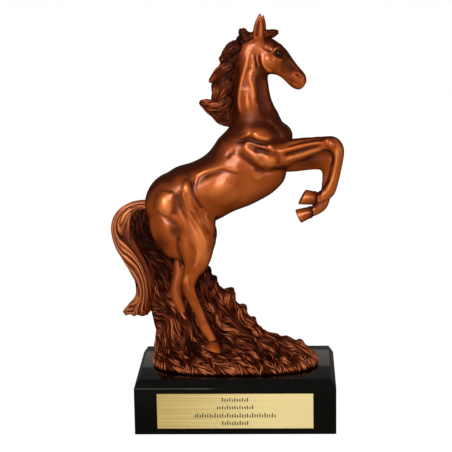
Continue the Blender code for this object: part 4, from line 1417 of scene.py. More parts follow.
@dataclass
class HorseBody:
    """The horse without its hair: lofted body, neck, head, legs, ears and hooves, carved with its muscles.

    Each row of its hollows is a weight, the spread of the surroundings, and the depth of a full hollow. Each
    row of its hoof rings is the way from the coronet to the sole, the width, and the tone, low for painted
    shade.
    """

    voxel: float = 0.66
    smoothing: int = 24
    blending: int = 110
    blend: Pad = Pad(1, (12, 197), (34, 13), 0, 0.5)
    finishing: int = 3
    carving: Touch = Touch(0.72, 0.72, 1.25)
    # strength of the painted patina, painted shade and painted highlights
    painting: Touch = Touch(0.36, 0.55, 2.3)
    hollows: Rows = ((0.35, 20, 0.3), (0.65, 80, 0.9))
    tone: float = 0.49
    hollow_shade: float = 0.28
    # painted shade: darker where the surface turns away from the side view and where it faces up
    painted_edge_shade: float = 0.42
    edge_facing: Pair = (0.15, 0.9)
    painted_top_shade: float = 0.36
    middle_tone: float = 0.45
    contrast: float = 1.12
    crease: float = 50
    limb_sides: int = 36
    limb_steps: int = 8
    hoof_sides: int = 48
    # painted shade: share of the hooves' tone left at the outline of the side view
    painted_hoof_outline_tone: float = 0.5
    hoof_rings: Rows = (
        (-0.16, 0.78, 0.05), (-0.03, 1.0, 0.1), (0.08, 1.05, 0.3), (0.2, 0.98, 0.35), (0.9, 1.02, 0.85),
        (0.97, 0.97, 0.6), (1.0, 0.86, 0.2), (1.0, 0.4, 0.0))
    torso: Rows = (
        (-45, 0, 144.5, 15, 13), (-33, 0, 148, 20.4, 16.2), (-21, 0, 151.3, 20.8, 15.2),
        (-10, 0, 156.8, 20.6, 15.6), (0, 0, 162.8, 23, 16.4), (9, 0, 170.2, 25.3, 16.6),
        (17, 0, 178, 24, 15.6), (24, 0, 184, 17, 13), (30, 0, 188, 9, 8))
    neck: Rows = (
        (14, 0, 189, 18, 12.6), (14.5, 0, 197, 16.8, 11.2), (13, 0, 204, 14.3, 10.3),
        (11.8, 0, 211, 12.9, 9.6), (11.2, 0, 220, 12, 8.8), (11, 0, 229, 11.3, 7.9), (11.6, 0, 238, 10.2, 7),
        (13.5, 0, 246, 8.4, 6), (15, 0, 251, 4.6, 4))
    head: Rows = (
        (12, 0, 246, 6.5, 5), (18, 0, 243.5, 10, 6.6), (23.2, 0, 239.4, 11, 7.2), (28.7, 0, 236.2, 9.8, 6.6),
        (33, 0, 232.9, 7.7, 5.2), (37, 0, 228.9, 6.6, 4.3), (40.7, 0, 224.8, 6.5, 4.4),
        (43.8, 0, 221.9, 5.6, 4.2), (46, 0, 220.4, 3, 2.8))
    near_foreleg: Rows = (
        (14, -8, 186, 12, 6.5), (22, -11.5, 179.5, 10.5, 6.5), (30, -12, 178.1, 9.4, 6),
        (40, -12, 180.8, 7.9, 5.4), (50, -12, 183.4, 6, 4.6), (58, -12, 184.9, 4.8, 4.2),
        (63.5, -12, 184.7, 5, 4.4), (66.8, -12, 180.6, 4.4, 4.2), (66.3, -12, 174, 4.2, 3.4),
        (64.4, -12, 164, 4.1, 3.1), (62.4, -12, 157.5, 4.4, 3.5), (60.2, -12, 153.2, 4.6, 4.1),
        (55.6, -12, 150, 3.9, 3.7), (51, -12, 149.6, 3.9, 3.8))
    far_foreleg: Rows = (
        (16, 8, 180, 11, 6), (28, 10.5, 170.5, 8, 5.6), (38, 11, 168.4, 6.4, 4.8), (48, 11, 169, 6, 4.4),
        (57, 11, 170.6, 7.6, 4.6), (62, 11, 166, 6, 4.3), (60.9, 11, 156, 4.1, 3.3), (59.2, 11, 146, 4, 3),
        (56.6, 11, 140, 4.4, 4), (52.4, 11, 136.4, 3.7, 3.7), (48.4, 11, 134.8, 3.7, 3.7))
    near_hind_leg: Rows = (
        (-35, -6, 143, 20.5, 10), (-33.3, -8, 132.4, 21.9, 10), (-29.6, -9.3, 121, 19, 9),
        (-26.4, -10.3, 113, 13.6, 7.6), (-25.9, -11, 106, 9.3, 6), (-27.7, -11.3, 100, 5.6, 4.8),
        (-29.6, -11.3, 94, 4.7, 4), (-30, -11.3, 90, 4.5, 4), (-27.8, -11.3, 83, 3.8, 3.3),
        (-24, -11.3, 75, 3.5, 3), (-21.4, -11.3, 68.4, 3.7, 3.2), (-19.5, -11.3, 63, 4, 3.8),
        (-16.4, -11.3, 58, 3.4, 3.5), (-14.6, -11.3, 53.4, 3.3, 3.4))
    far_hind_leg: Rows = (
        (-35, 6, 141, 20, 10), (-34, 8, 131, 20.5, 9.5), (-33.6, 8, 119, 16.5, 9),
        (-34.4, 5.2, 109, 10.5, 9.4), (-36.4, 1.4, 99, 7.4, 7), (-38.8, -2, 90, 4.8, 4.8),
        (-38.8, -3.4, 83.5, 4.2, 4), (-36.4, -3, 76, 3.5, 3.4), (-34, -1, 68, 3.2, 3.2),
        (-31, 3, 56, 3.4, 3.4))
    ears: tuple[Rows, ...] = (
        ((16.8, -3.8, 246, 2.6, 2.4), (16.9, -4.3, 252, 3.9, 2.6), (17, -4.7, 258, 3.7, 2.3),
            (17.7, -4.9, 263.6, 2.5, 1.8), (18.2, -5, 268, 0.8, 0.8)),
        ((18.6, 3.8, 246, 2.6, 2.4), (19, 4.3, 252, 3.4, 2.5), (19.2, 4.7, 258, 3, 2.2),
            (19.7, 4.9, 262, 2, 1.6), (20, 5, 266, 0.8, 0.8)))
    hooves: tuple[tuple, ...] = (
        (-12, (4.2, 4.8), (52, 144.9), (52.8, 153.8), (41.2, 145.6), (46.2, 155.0)),
        (11, (4.1, 4.7), (50.6, 131.6), (49.8, 139.2), (43.2, 128), (39.4, 136.8)),
        (-11.3, (3.9, 4.8), (-17.8, 54.6), (-10.8, 54.2), (-20.0, 49.6), (-9.2, 46.0)))
    muscles: tuple[tuple, ...] = (
        ((-36.6, -2, 143.4), (21.8, 14.5, 22), 0), ((-44, -7.6, 144), (9, 9.4, 13), 0),
        ((-44, -8, 131), (7, 7.6, 11), 20), ((-20.6, -8.6, 122.6), (9, 8.4, 11.5), 6),
        ((-6, -5.5, 156), (20, 12, 14), 28), ((14, -8, 190), (11, 7.4, 9), -20),
        ((18, -10.5, 177), (11.5, 6.6, 7.6), -24), ((30.6, -4.5, 189), (8, 7.5, 7.5), -30),
        ((23.2, -2.4, 237), (8.2, 6, 8.6), 0), ((29.6, -4.2, 243.2), (4.6, 3.6, 3.2), -35),
        ((42.6, -2.2, 227), (3.4, 3, 2.8), -40))
    eye_place: Triple = (30.0, 6.0, 241.6)
    eye_half_sizes: Triple = (2.6, 1.6, 1.7)
    eye_tilt: float = -35
    finish: AgedBronze = AgedBronze("bronze_coat", dark=(0.070, 0.0105, 0.002), middle=(0.37, 0.073, 0.010),
                                    bright=(0.72, 0.218, 0.056))
    eye_finish: GlossBlack = GlossBlack("eye_gloss", colour=(0.006, 0.004, 0.003), roughness=(0.06, 0.1),
                                        ior=1.5)

    def hoof(self, y: float, half_widths: Pair, *corners: Pair) -> Skin:
        """Hoof with a coronet rim and a flat sole.

        Args:
            y: its middle across the horse.
            half_widths: across the horse, at the coronet and at the sole.
            *corners: in the side view, the two ends of the coronet and the two ends of the sole.

        Returns:
            The hoof as a closed form.
        """
        top_a, top_b, low_a, low_b = (np.array((x, y, z)) for x, z in corners)
        turn = angles(self.hoof_sides).T
        rings = []
        for share, grow, _ in self.hoof_rings:
            a, b = top_a + (low_a - top_a) * share, top_b + (low_b - top_b) * share
            width = half_widths[0] + (half_widths[1] - half_widths[0]) * share
            across = np.array((0, width, 0))
            rings.append((a + b) / 2 + grow * (np.cos(turn) * (b - a) / 2 + np.sin(turn) * across))
        # painted shade: darker at the coronet cleft and the sole, and towards the outline of the side view
        tones = [tone for _, _, tone in self.hoof_rings]
        bright = self.painted_hoof_outline_tone + (1 - self.painted_hoof_outline_tone) * np.abs(np.sin(turn[:, 0]))
        ridge = np.outer(tones, bright).ravel()
        return Skin(np.vstack(rings), ring_faces(len(rings), self.hoof_sides), {"ridge": ridge})

    def forms(self) -> list[Skin]:
        """Overlapping closed forms of the body.

        Returns:
            The trunk, the limbs, the ears and the muscles of both sides.
        """
        lofts = (self.torso, self.neck, self.head, self.near_foreleg, self.far_foreleg, self.near_hind_leg,
                 self.far_hind_leg, *self.ears)
        forms = [tube(rows, self.limb_sides, self.limb_steps) for rows in lofts]
        for (x, y, z), half_sizes, tilt in self.muscles:
            forms += [egg((x, y * side, z), half_sizes, tilt) for side in (1, -1)]
        return forms

    def ridges(self, body: Sculpting, eye: Vector) -> np.ndarray:
        """Body tone: dark patina in hollows, painted shade at the outline and on top, patina and
        painted-light marks.

        Args:
            body: the carved body.
            eye: where the photograph was taken from.

        Returns:
            The ridge mask, painted shade and painted highlights included.
        """
        hollow = sum(weight * body.hollowness(spread) / depth for weight, spread, depth in self.hollows)
        normals = body.normals()
        # painted shade near the side view's outline and on the top-facing surfaces
        turned = 1 - smoothstep(*self.edge_facing, np.abs(normals[:, 1]))
        ridge = (self.tone - self.hollow_shade * np.tanh(hollow) - self.painted_edge_shade * turned
                 - self.painted_top_shade * np.clip(normals[:, 2], 0, 1))
        # the marks add patina in the creases, painted shade and painted highlights
        ridge += body.marked(PatinaAndPaintedLight().marks, eye, self.painting)
        return np.clip(self.middle_tone + self.contrast * (ridge - self.middle_tone), 0, 1)

    def build(self, eye: Vector) -> bpy.types.Object:
        """The body as a piece.

        Args:
            eye: where the photograph was taken from, for the lines of the side view.

        Returns:
            The piece.
        """
        body = Sculpting.fused("horse_forms", self.forms(), self.voxel)
        body.smooth(self.smoothing)
        blend = self.blend.share(body.points[:, ::2])
        body.points += blend[:, None] * (body.relaxed(body.points, self.blending) - body.points)
        body.carve(Flesh().marks(), eye, self.carving)
        body.smooth(self.finishing)
        skin = body.skin(self.ridges(body, eye))
        hooves = Skin.joined([self.hoof(*sizes) for sizes in self.hooves]).mesh("hooves")
        mesh = fused_meshes("horse_body", skin.mesh("horse_skin", turn_outwards=False), hooves)
        mesh.set_sharp_from_angle(angle=math.radians(self.crease))
        return add_piece("horse_body", mesh, self.finish.material(), RESIN, "horse_casting")

    def build_eyes(self) -> bpy.types.Object:
        """The two eyes as one glossy dark piece.

        Returns:
            The piece.
        """
        x, y, z = self.eye_place
        balls = Skin.joined([egg((x, side * y, z), self.eye_half_sizes, self.eye_tilt) for side in (1, -1)])
        return add_piece("eyes", balls.mesh("eyes"), self.eye_finish.material(), RESIN)


@dataclass
class Mane:
    """The mane along the crest of the neck, and the forelock.

    Each lock has points of the side view with their half-thickness, and the side of the neck that it lies on.
    """

    voxel: float = 0.5
    smoothing: int = 5
    mass: Rows = (
        (9.4, 0, 250, 3.6, 3), (5, 0, 246.6, 4.2, 4), (1.2, 0, 241.6, 4.6, 5.2), (-1.8, 0, 235.6, 4.8, 5.6),
        (-4.4, 0, 228, 5.6, 5.6), (-5.8, 0, 219, 6.6, 5.4), (-6.4, 0, 211, 7, 5.2), (-5.8, 0, 204, 6, 4.8),
        (-3, 0, 197.4, 3, 3))
    locks: tuple[tuple[Rows, int], ...] = (
        (((11, 250, 3.4), (7.6, 254, 2.9), (5.9, 257.2, 1.7)), -1),
        (((9, 248, 3.4), (5.4, 250, 2.8), (3.2, 251.6, 1.5)), 0),
        (((5, 246.6, 3.6), (0.6, 245, 4), (-3.6, 240.6, 3.4), (-7.4, 236.6, 1.6)), -1),
        (((2, 240, 3.6), (-1.6, 237.6, 4), (-5, 235.4, 2.6), (-7.6, 235.4, 1.3)), 1),
        (((0, 235, 3.4), (-3.6, 232.6, 4), (-9, 228.6, 3.2), (-14.4, 223.4, 1.5)), -1),
        (((-1.4, 230.6, 3.4), (-4.6, 227.6, 4.4), (-9.2, 221, 4), (-11.4, 214.6, 1.8)), 1),
        (((-2, 225, 3.4), (-4.8, 220, 4.4), (-8.4, 214.6, 4), (-11, 212.6, 2)), -1),
        (((-1.6, 214, 3.2), (-5.6, 210.4, 4.2), (-12, 208.6, 3.6), (-18, 209.6, 2.6),
            (-21.6, 210.3, 1.1)), -1),
        (((-2, 208, 3.2), (-5.4, 204, 4.2), (-10.6, 203.4, 4.2), (-16.4, 206.6, 2.6),
            (-20.6, 209.6, 1.2)), 1),
        (((-1.6, 203, 3), (-3.6, 199.6, 3.6), (-8, 199.4, 3.4), (-13.4, 203, 1.8)), 0),
        (((0, 200, 3), (-2.6, 197, 2.6), (-6.6, 195.8, 1.2)), 0),
        (((12, 252, 3), (19, 253.8, 2.6), (25.6, 254.4, 1.9), (29.6, 255.4, 0.9)), -1),
        (((13, 251.4, 3), (20, 252.4, 2.4), (25.4, 252.6, 1.8), (29.4, 253.9, 0.9)), 1))
    guides: tuple[Rows, ...] = (
        ((12, 251), (8, 253.6), (5.6, 258)), ((9, 249), (5, 250.4), (2.6, 252)),
        ((9, 249), (3, 247), (-2.4, 242.6), (-8, 236.6)), ((7, 244), (2.4, 240), (-2.6, 236.4), (-7, 234)),
        ((4, 239), (0.6, 234), (-4.6, 230.6), (-10.6, 227), (-15, 223)),
        ((2, 235), (-3, 231), (-7.6, 226), (-11.4, 220), (-13, 213)),
        ((1, 230), (-3, 225.6), (-7, 220), (-10, 214), (-11.6, 212)),
        ((0, 225), (-3, 219), (-6, 214.6), (-9.6, 211.6)),
        ((-0.4, 218), (-3, 213), (-8, 210), (-14, 209.6), (-21.5, 210.6)),
        ((-0.6, 213), (-4, 208.6), (-9, 206.4), (-15, 207), (-21, 209.8)),
        ((-1, 208), (-4.6, 203.6), (-9.6, 202), (-15, 204.6), (-19, 208)),
        ((-1.4, 203), (-5, 199), (-10, 199.4), (-14.4, 202.4)), ((-1.6, 199), (-4.6, 196), (-8, 196)),
        ((14, 252), (20, 253), (25, 253.4), (30.4, 255)), ((14, 253.6), (20, 255.2), (30, 255.8)))
    lock_offset: Pair = (1.6, 0.3)
    lock_flatness: float = 0.95
    crest_high: float = 0.5
    crest_depth: float = 0.5
    valley_tone: float = 0.25
    body_tone: float = 0.3
    hair_tone: float = 0.42
    outer: Pair = (-1, -12)
    outer_light: float = 0.6
    forelock_from: float = 14
    tuft_from: float = 256
    tuft: Spot = Spot(-8, 236, 3.4)
    tuft_light: float = 0.3
    finish: AgedBronze = AgedBronze("mane_bronze", dark=(0.020, 0.003, 0.0006), middle=(0.15, 0.024, 0.006),
                                    bright=(0.50, 0.135, 0.045), mottle=0.3, roughness=(0.5, 0.42),
                                    coat=0.25, gloss=0.2)

    def forms(self) -> list[Skin]:
        """Overlapping closed forms of the hair.

        Returns:
            The mass of the mane and its locks.
        """
        forms = [tube(self.mass, sides=40, steps=8)]
        start, growth = self.lock_offset
        for points, side in self.locks:
            stations = [(x, side * (start + growth * half), z, half, half * self.lock_flatness)
                        for x, z, half in points]
            forms.append(tube(stations, sides=28, steps=8))
        return forms

    def tone(self, place: Vector) -> float:
        """Brightness of the hair: rubbed bright on the tufts and towards the outer ends of the locks.

        Args:
            place: where on the mane.

        Returns:
            A factor on the ridge mask.
        """
        tuft = place.x > self.forelock_from or place.z > self.tuft_from or self.tuft.has(place)
        outer = straight_step(*self.outer, place.x)
        return self.hair_tone + self.outer_light * outer + self.tuft_light * tuft

    def build(self, eye: Vector) -> bpy.types.Object:
        """The mane and forelock as one piece of combed hair.

        Args:
            eye: where the photograph was taken from, for the guide strokes.

        Returns:
            The piece.
        """
        body = Sculpting.fused("mane_forms", self.forms(), self.voxel)
        body.smooth(self.smoothing)
        crest = body.crests(self.crest_high, self.crest_depth)
        skin = body.skin(self.valley_tone + (1 - self.valley_tone) * crest)
        bronze = self.finish.material()
        comb = Comb(skin, self.guides, eye, spacing=0.72, stride=1.1, blur=2.0)
        strands = comb.strands(tries=9000, strides=(6, 15), seed=21)
        sweep = HairSweep(half_width=0.38, lift=0.45, tones=(0.4, 1.3), seed=4, sides=5)
        hair = sweep.mesh("mane_strands", strands, bronze, self.tone)
        skin.paint["ridge"] = self.body_tone * crest
        mesh = fused_meshes("mane", skin.mesh("mane_body", turn_outwards=False), hair)
        return add_piece("mane", mesh, bronze, RESIN)


@dataclass
class Tail:
    """The tail, one heavy sweep of locks with a flared end, with painted shade on its inner side."""

    sweep: Rows = (
        (-52, 0, 143, 3.4, 4), (-59, 0, 143.6, 3, 4.4), (-65.5, 0, 142.2, 3.4, 5),
        (-70.4, 0, 138.4, 4.8, 5.6), (-73.4, 0, 132.6, 6.3, 6), (-74, 0, 126, 6.9, 6.4),
        (-71.4, 0, 118, 7.7, 6.6), (-67.2, 0, 111, 8.2, 6.8), (-62.8, 0, 103, 8.2, 6.8),
        (-60.2, 0, 94, 7.4, 6.6), (-59.8, 0, 85, 6.7, 6.2), (-61.2, 0, 79, 6.4, 6),
        (-63.6, 0, 73.6, 6.6, 5.6), (-65, 0, 70, 5, 4.4))
    tips: tuple[Rows, ...] = (
        ((-61, -1, 82, 4, 4), (-66.6, -1, 75, 4.4, 3.6), (-73.6, -1, 70.4, 1.8, 1.6)),
        ((-61, 1, 82, 4, 4), (-63.4, 1, 75, 4.6, 4), (-68.4, 1, 68.8, 1.8, 2)),
        ((-60, 0, 80, 4, 4), (-60, 0, 74, 4.6, 4), (-60.4, 0, 69.4, 2.6, 3)))
    relief: HairRelief = HairRelief(locks=8, strands=2, lock_depth=1.9, strand_depth=0.9, twist=2.2, seed=5)
    tip_seed: int = 8
    inner_from: int = 4
    # painted shade on the tail's inner side, below its top
    inner_width: float = 7
    inner_top: Pair = (122, 134)
    painted_inner_shade: float = 0.5
    finish: AgedBronze = AgedBronze("tail_bronze", dark=(0.016, 0.002, 0.0004), middle=(0.175, 0.028, 0.007),
                                    bright=(0.78, 0.262, 0.105), mottle=0.25, roughness=(0.5, 0.4), coat=0.6)

    def build(self) -> bpy.types.Object:
        """The tail as a piece.

        Returns:
            The piece.
        """
        skins = [tube(self.sweep, sides=200, steps=14, relief=self.relief)]
        for number, tip in enumerate(self.tips):
            relief = HairRelief(locks=5, strands=3, lock_depth=1.0, strand_depth=0.5, twist=0.5,
                                seed=self.tip_seed + number)
            skins.append(tube(tip, sides=72, steps=22, relief=relief))
        tail = Skin.joined(skins)
        # painted shade on the inner side, fading out near the top
        x, _, z = tail.points.T
        middle = np.array(self.sweep[self.inner_from:])[::-1]
        inner = smoothstep(0, self.inner_width, x - np.interp(z, middle[:, 2], middle[:, 0]))
        tail.paint["ridge"] *= 1 - self.painted_inner_shade * inner * (1 - smoothstep(*self.inner_top, z))
        return add_piece("tail", tail.mesh("tail"), self.finish.material(), RESIN)


@dataclass
class GrassMound:
    """The mound of swept grass under the horse: a body of swirling clumps, combed with fine blades.

    Each section is a height, the ends along the horse, and the ends across it. Each knob is a root, a tip and
    a half-thickness.
    """

    voxel: float = 0.85
    smoothing: int = 3
    sections: Rows = (
        (36.5, -55, 54.2, -31.4, 29.5), (38.5, -55, 54.2, -31.4, 29), (42, -54.2, 51.6, -26, 22),
        (45, -54, 48, -16, 16), (48, -54, 43.5, -11, 13), (51, -53.6, 34, -8, 12), (54, -53, 22, -6, 12),
        (58, -53, 16, -5, 12), (64, -54.4, 10, -4.5, 12), (70, -56, 5, -4, 12), (76, -57, -0.5, -4, 12),
        (82, -57, -6.6, -4, 12), (88, -56, -12, -4, 12), (95, -55, -16, -4, 11), (102, -57.4, -20, -3, 10),
        (108, -60.6, -30, -3, 10), (116, -65, -42, -3, 8), (126, -70, -50, -2.6, 6), (136, -69, -55, -2, 4),
        (142, -64, -57, -1.6, 3))
    squareness: float = 2.5
    sides: int = 96
    foot: float = 36.6
    guides: tuple[Rows, ...] = (
        ((-50, 80), (-45, 79), (-41, 75), (-40, 69)), ((-48, 77), (-43, 76), (-38, 71), (-36, 64)),
        ((-53, 72), (-47, 70), (-43, 64), (-41, 56), (-39, 49)), ((-48, 68), (-42, 66), (-38, 60), (-37, 52)),
        ((-54, 64), (-49, 57), (-46, 50)), ((-52, 56), (-47, 51), (-44, 46)),
        ((-46, 61), (-42, 54), (-41, 47)), ((-36, 76), (-34, 68), (-31, 60), (-29, 53)),
        ((-33, 61), (-29, 54), (-24, 49), (-20, 45)), ((-50, 101), (-46, 95), (-42, 88)),
        ((-49, 93), (-44, 86), (-41, 79)), ((-54, 90), (-51, 83), (-47, 81)),
        ((-62, 131), (-57, 121), (-48, 113), (-40, 106)), ((-59, 119), (-52, 110), (-44, 104), (-37, 99)),
        ((-56, 108), (-48, 102), (-40, 94)), ((-66, 136), (-63, 127), (-58, 120)),
        ((-53, 44), (-49, 38), (-45, 33)), ((-45, 44), (-42, 38), (-38, 32)),
        ((-37, 43), (-34, 37), (-31, 31)), ((-30, 43), (-26, 36), (-20, 30)),
        ((-25, 45), (-18, 39), (-13, 31)), ((-15, 43), (-8, 37), (-2, 30)),
        ((-9, 49), (-2, 43), (3, 36), (6, 31)), ((0, 45), (6, 39), (10, 32)), ((8, 47), (13, 40), (15, 32)),
        ((17, 47), (18, 39), (20, 31)), ((23, 46), (25, 38), (27, 31)), ((29, 46), (31, 38), (34, 32)),
        ((37, 46), (39, 38), (41, 33)), ((45, 45), (48, 38), (49, 33)),
        ((-12, 79), (-9, 72), (-6, 66), (0, 61)), ((-11, 86), (-7, 79), (-6, 74), (-2, 66)),
        ((-3, 87), (-2, 79), (1, 72), (4, 66), (9, 61)), ((5, 76), (4, 70), (8, 63), (13, 58)),
        ((-19, 77), (-13, 70), (-10, 64), (-5, 60), (2, 59)), ((-23, 79), (-17, 74), (-13, 69)),
        ((-11, 61), (-3, 57), (4, 56), (10, 52)), ((-7, 56), (1, 51), (8, 46)),
        ((10, 65), (13, 57), (18, 52)), ((10, 55), (15, 50), (21, 46)), ((18, 58), (24, 52), (31, 47)),
        ((27, 55), (33, 51), (39, 45)), ((36, 53), (42, 49), (48, 42)), ((-13, 98), (-14, 92), (-16, 86)),
        ((-22, 93), (-20, 86), (-15, 80)), ((-18, 103), (-18, 96), (-20, 90)),
        ((-26, 66), (-18, 58), (-14, 50)), ((-30, 80), (-27, 72), (-24, 66)))
    knobs: tuple[tuple, ...] = (
        ((-21, 92), (-17.6, 100.4), 3.0), ((-17, 88), (-13.6, 94), 2.4), ((-16, 82), (-13, 89.4), 2.4),
        ((-8, 76), (-7, 84.8), 3.3), ((-3.6, 74), (-3.2, 85.2), 2.9), ((2.8, 66), (5.2, 74.4), 3.0),
        ((9, 60), (12.4, 65.6), 2.4), ((13, 54), (16, 59), 2.2), ((21, 49), (23.6, 54.4), 2.8),
        ((32, 47), (34, 52), 3.2), ((41.6, 45), (43.4, 49.6), 2.6))
    knob_rows: tuple[int, ...] = (0, 6)
    knob_shape: Rows = ((0, 1), (0.6, 1.0), (1, 0.62))
    knob_width: float = 1.1
    clump: float = 2.3
    clump_ends: Pair = (0.14, 0.9)
    clump_fullness: float = 0.7
    clump_sunk: float = 0.45
    clump_clearance: float = 0.6
    least_clump: int = 4
    eye_behind: float = 250
    crest_high: float = 0.6
    crest_depth: float = 0.7
    valley_tone: float = 0.3
    earth_tone: float = 0.3
    # black at the foot: the casting's dark foot rim and a painted contact shadow; painted shade towards the
    # top
    foot_rim_and_contact_shadow: Pair = (37.6, 38.6)
    earth_top: Pair = (84, 104)
    painted_earth_top_shade: float = 0.85
    blade_tone: float = 0.42
    # painted shade: lighter low down, darker up towards the recess under the tail and thigh
    low_ground: Pair = (104, 70)
    painted_low_light: float = 0.64
    rim: Pair = (46, 42)
    rim_light: float = 0.35
    # painted shadows beside the hind hoof
    painted_shadow_spots: tuple[Spot, ...] = (Spot(-8, 49, 6, 1.6), Spot(-27, 48, 5))
    painted_recess_shade: float = 0.55
    rubbed: tuple[Spot, ...] = (Spot(-5, 81, 6), Spot(5, 72, 4))
    rubbed_light: float = 1.25
    finish: AgedBronze = AgedBronze("grass_bronze", dark=(0.022, 0.003, 0.0006), middle=(0.17, 0.028, 0.007),
                                    bright=(0.66, 0.205, 0.085), mottle=0.35, mottle_scale=45,
                                    roughness=(0.5, 0.38), coat=0.3, gloss=0.2)
    earth_finish: AgedBronze = AgedBronze("earth_bronze", dark=(0.014, 0.002, 0.0004),
                                          middle=(0.14, 0.022, 0.006), bright=(0.4, 0.11, 0.04), mottle=0.3,
                                          mottle_scale=45, roughness=(0.7, 0.6), coat=0, gloss=0.1)

    def base(self) -> Skin:
        """The plain body of the mound.

        Returns:
            A closed form of rounded oblong sections.
        """
        table = np.array(self.sections)
        turn = angles(self.sides)
        power = 2 / self.squareness
        x, y = (np.sign(part) * np.abs(part) ** power for part in (np.cos(turn), np.sin(turn)))
        z, left, right, front, back = (table[:, k:k + 1] for k in range(5))
        along = (left + right) / 2 + x * (right - left) / 2
        across = (front + back) / 2 + y * (back - front) / 2
        grid = np.stack(np.broadcast_arrays(along, across, z), -1).reshape(-1, 3)
        return Skin(grid, ring_faces(len(table), self.sides), {"ridge": np.zeros(len(grid))})

    def knob_forms(self) -> list[Skin]:
        """The clumps that stick out of the mound's crest.

        Returns:
            A stump for each knob and row.
        """
        forms = []
        for (x, z), (tip_x, tip_z), thick in self.knobs:
            for across in self.knob_rows:
                stations = [(x + (tip_x - x) * share, across, z + (tip_z - z) * share, thick * size,
                             thick * size * self.knob_width) for share, size in self.knob_shape]
                forms.append(tube(stations, sides=20, steps=5))
        return forms

    def clump_forms(self, base: Skin, eye: Vector) -> list[Skin]:
        """A clump of grass along each guide stroke, front and back.

        Args:
            base: the body that they lie on.
            eye: where the photograph was taken from.

        Returns:
            The clumps as closed forms.
        """
        surface = BVHTree.FromPolygons(base.points.tolist(), base.faces)
        forms = []
        for front in (True, False):
            for stroke in self.guides:
                line = flowing(stroke, steps=4)
                swell = np.sin(math.pi * np.linspace(*self.clump_ends, len(line))) ** self.clump_fullness
                stations = []
                for (x, z), size in zip(line, self.clump * swell):
                    start = eye if front else Vector((x, -eye.y, z + self.eye_behind))
                    way = (Vector((x, 0, z)) - start).normalized()
                    hit, outward, _, _ = surface.ray_cast(start, way)
                    if hit and hit.z > self.foot + self.clump_clearance * size:
                        stations.append((*(hit - outward * self.clump_sunk * size), size, size))
                if len(stations) > self.least_clump:
                    forms.append(tube(stations, sides=14, steps=1))
        return forms

    def tone(self, place: Vector) -> float:
        """Brightness of the grass: lighter low down and along the foot, with painted shade up towards the
        recess under the tail and thigh, painted shadows beside the hind hoof, and the rubbed knobs lighter.

        Args:
            place: where on the mound.

        Returns:
            A factor on the ridge mask.
        """
        # painted shade towards the recess under the tail and thigh, and painted shadows beside the hind hoof
        tone = self.blade_tone + self.painted_low_light * straight_step(*self.low_ground, place.z)
        tone += self.rim_light * straight_step(*self.rim, place.z)
        if any(spot.has(place) for spot in self.painted_shadow_spots):
            tone *= self.painted_recess_shade
        if any(spot.has(place) for spot in self.rubbed):
            tone *= self.rubbed_light
        return tone

    def build(self, eye: Vector) -> bpy.types.Object:
        """The mound and its grass, as two pieces.

        Args:
            eye: where the photograph was taken from, for the guide strokes.

        Returns:
            The piece of the mound itself.
        """
        base = self.base()
        forms = [base, *self.knob_forms(), *self.clump_forms(base, eye)]
        body = Sculpting.fused("mound_forms", forms, self.voxel)
        body.smooth(self.smoothing)
        body.points[:, 2] = np.maximum(body.points[:, 2], self.foot)
        crest = body.crests(self.crest_high, self.crest_depth)
        skin = body.skin(self.valley_tone + (1 - self.valley_tone) * crest)
        bronze = self.finish.material()
        comb = Comb(skin, self.guides, eye, spacing=0.8, stride=1.25, blur=2.6, lowest=36.9, waves=0.42)
        strands = comb.strands(tries=26000, strides=(8, 18), seed=31)
        sweep = HairSweep(half_width=0.45, lift=0.6, tones=(0.35, 1.3), seed=9, sides=4)
        blades = sweep.mesh("grass_blades", strands, bronze, self.tone)
        add_piece("grass_blades", blades, bronze, RESIN)
        # the earth goes black at its foot, partly dark rim and partly painted contact shadow, with painted
        # shade towards the top
        height = skin.points[:, 2]
        painted_upper_shade = 1 - self.painted_earth_top_shade * smoothstep(*self.earth_top, height)
        skin.paint["ridge"] = self.earth_tone * crest * smoothstep(*self.foot_rim_and_contact_shadow, height) * painted_upper_shade
        mesh = skin.mesh("grass_mound", turn_outwards=False)
        return add_piece("grass_mound", mesh, self.earth_finish.material(), RESIN)


@dataclass
class Plinth:
    """The polished black block with a chamfer round its top and softened edges."""

    chamfer: Pair = (3.3, 5.4)
    softness: float = 0.14
    rounding: int = 3
    crease: float = 35

    def build(self) -> bpy.types.Object:
        """The plinth as a piece.

        Returns:
            The piece.
        """
        low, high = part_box("plinth")
        width, drop = (size * MM for size in self.chamfer)
        block = bmesh.new()
        centre = Matrix.Translation((low + high) / 2)
        bmesh.ops.create_cube(block, size=1, matrix=centre @ Matrix.Diagonal((*(high - low), 1)))
        shoulder = high.z - drop
        everything = block.verts[:] + block.edges[:] + block.faces[:]
        bmesh.ops.bisect_plane(block, geom=everything, plane_co=(0, 0, shoulder), plane_no=(0, 0, 1))
        for vertex in block.verts:
            if vertex.co.z > shoulder + drop / 2:
                vertex.co.x -= math.copysign(width, vertex.co.x)
                vertex.co.y -= math.copysign(width, vertex.co.y)
        bmesh.ops.bevel(block, geom=block.edges[:], offset=self.softness * MM, segments=self.rounding,
                        profile=0.5, affect="EDGES")
        mesh = bpy.data.meshes.new("plinth_block")
        block.to_mesh(mesh)
        block.free()
        mesh.shade_smooth()
        mesh.set_sharp_from_angle(angle=math.radians(self.crease))
        lacquer = GlossBlack("black_lacquer").material()
        return add_piece("plinth_block", mesh, lacquer, LACQUER, "plinth")


@dataclass
class NamePlate:
    """The brushed plate, shown as its own solid with a better finish."""

    node: str = "name_plate"

    def dress(self) -> bpy.types.Object:
        """The plate's solid in its brushed finish.

        Returns:
            The solid's object.
        """
        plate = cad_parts[self.node]
        low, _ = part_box(self.node)
        plate.data.materials.clear()
        plate.data.materials.append(BrushedGold("brushed_gold", low.y).material())
        LOG.info("%s dressed", self.node)
        return plate


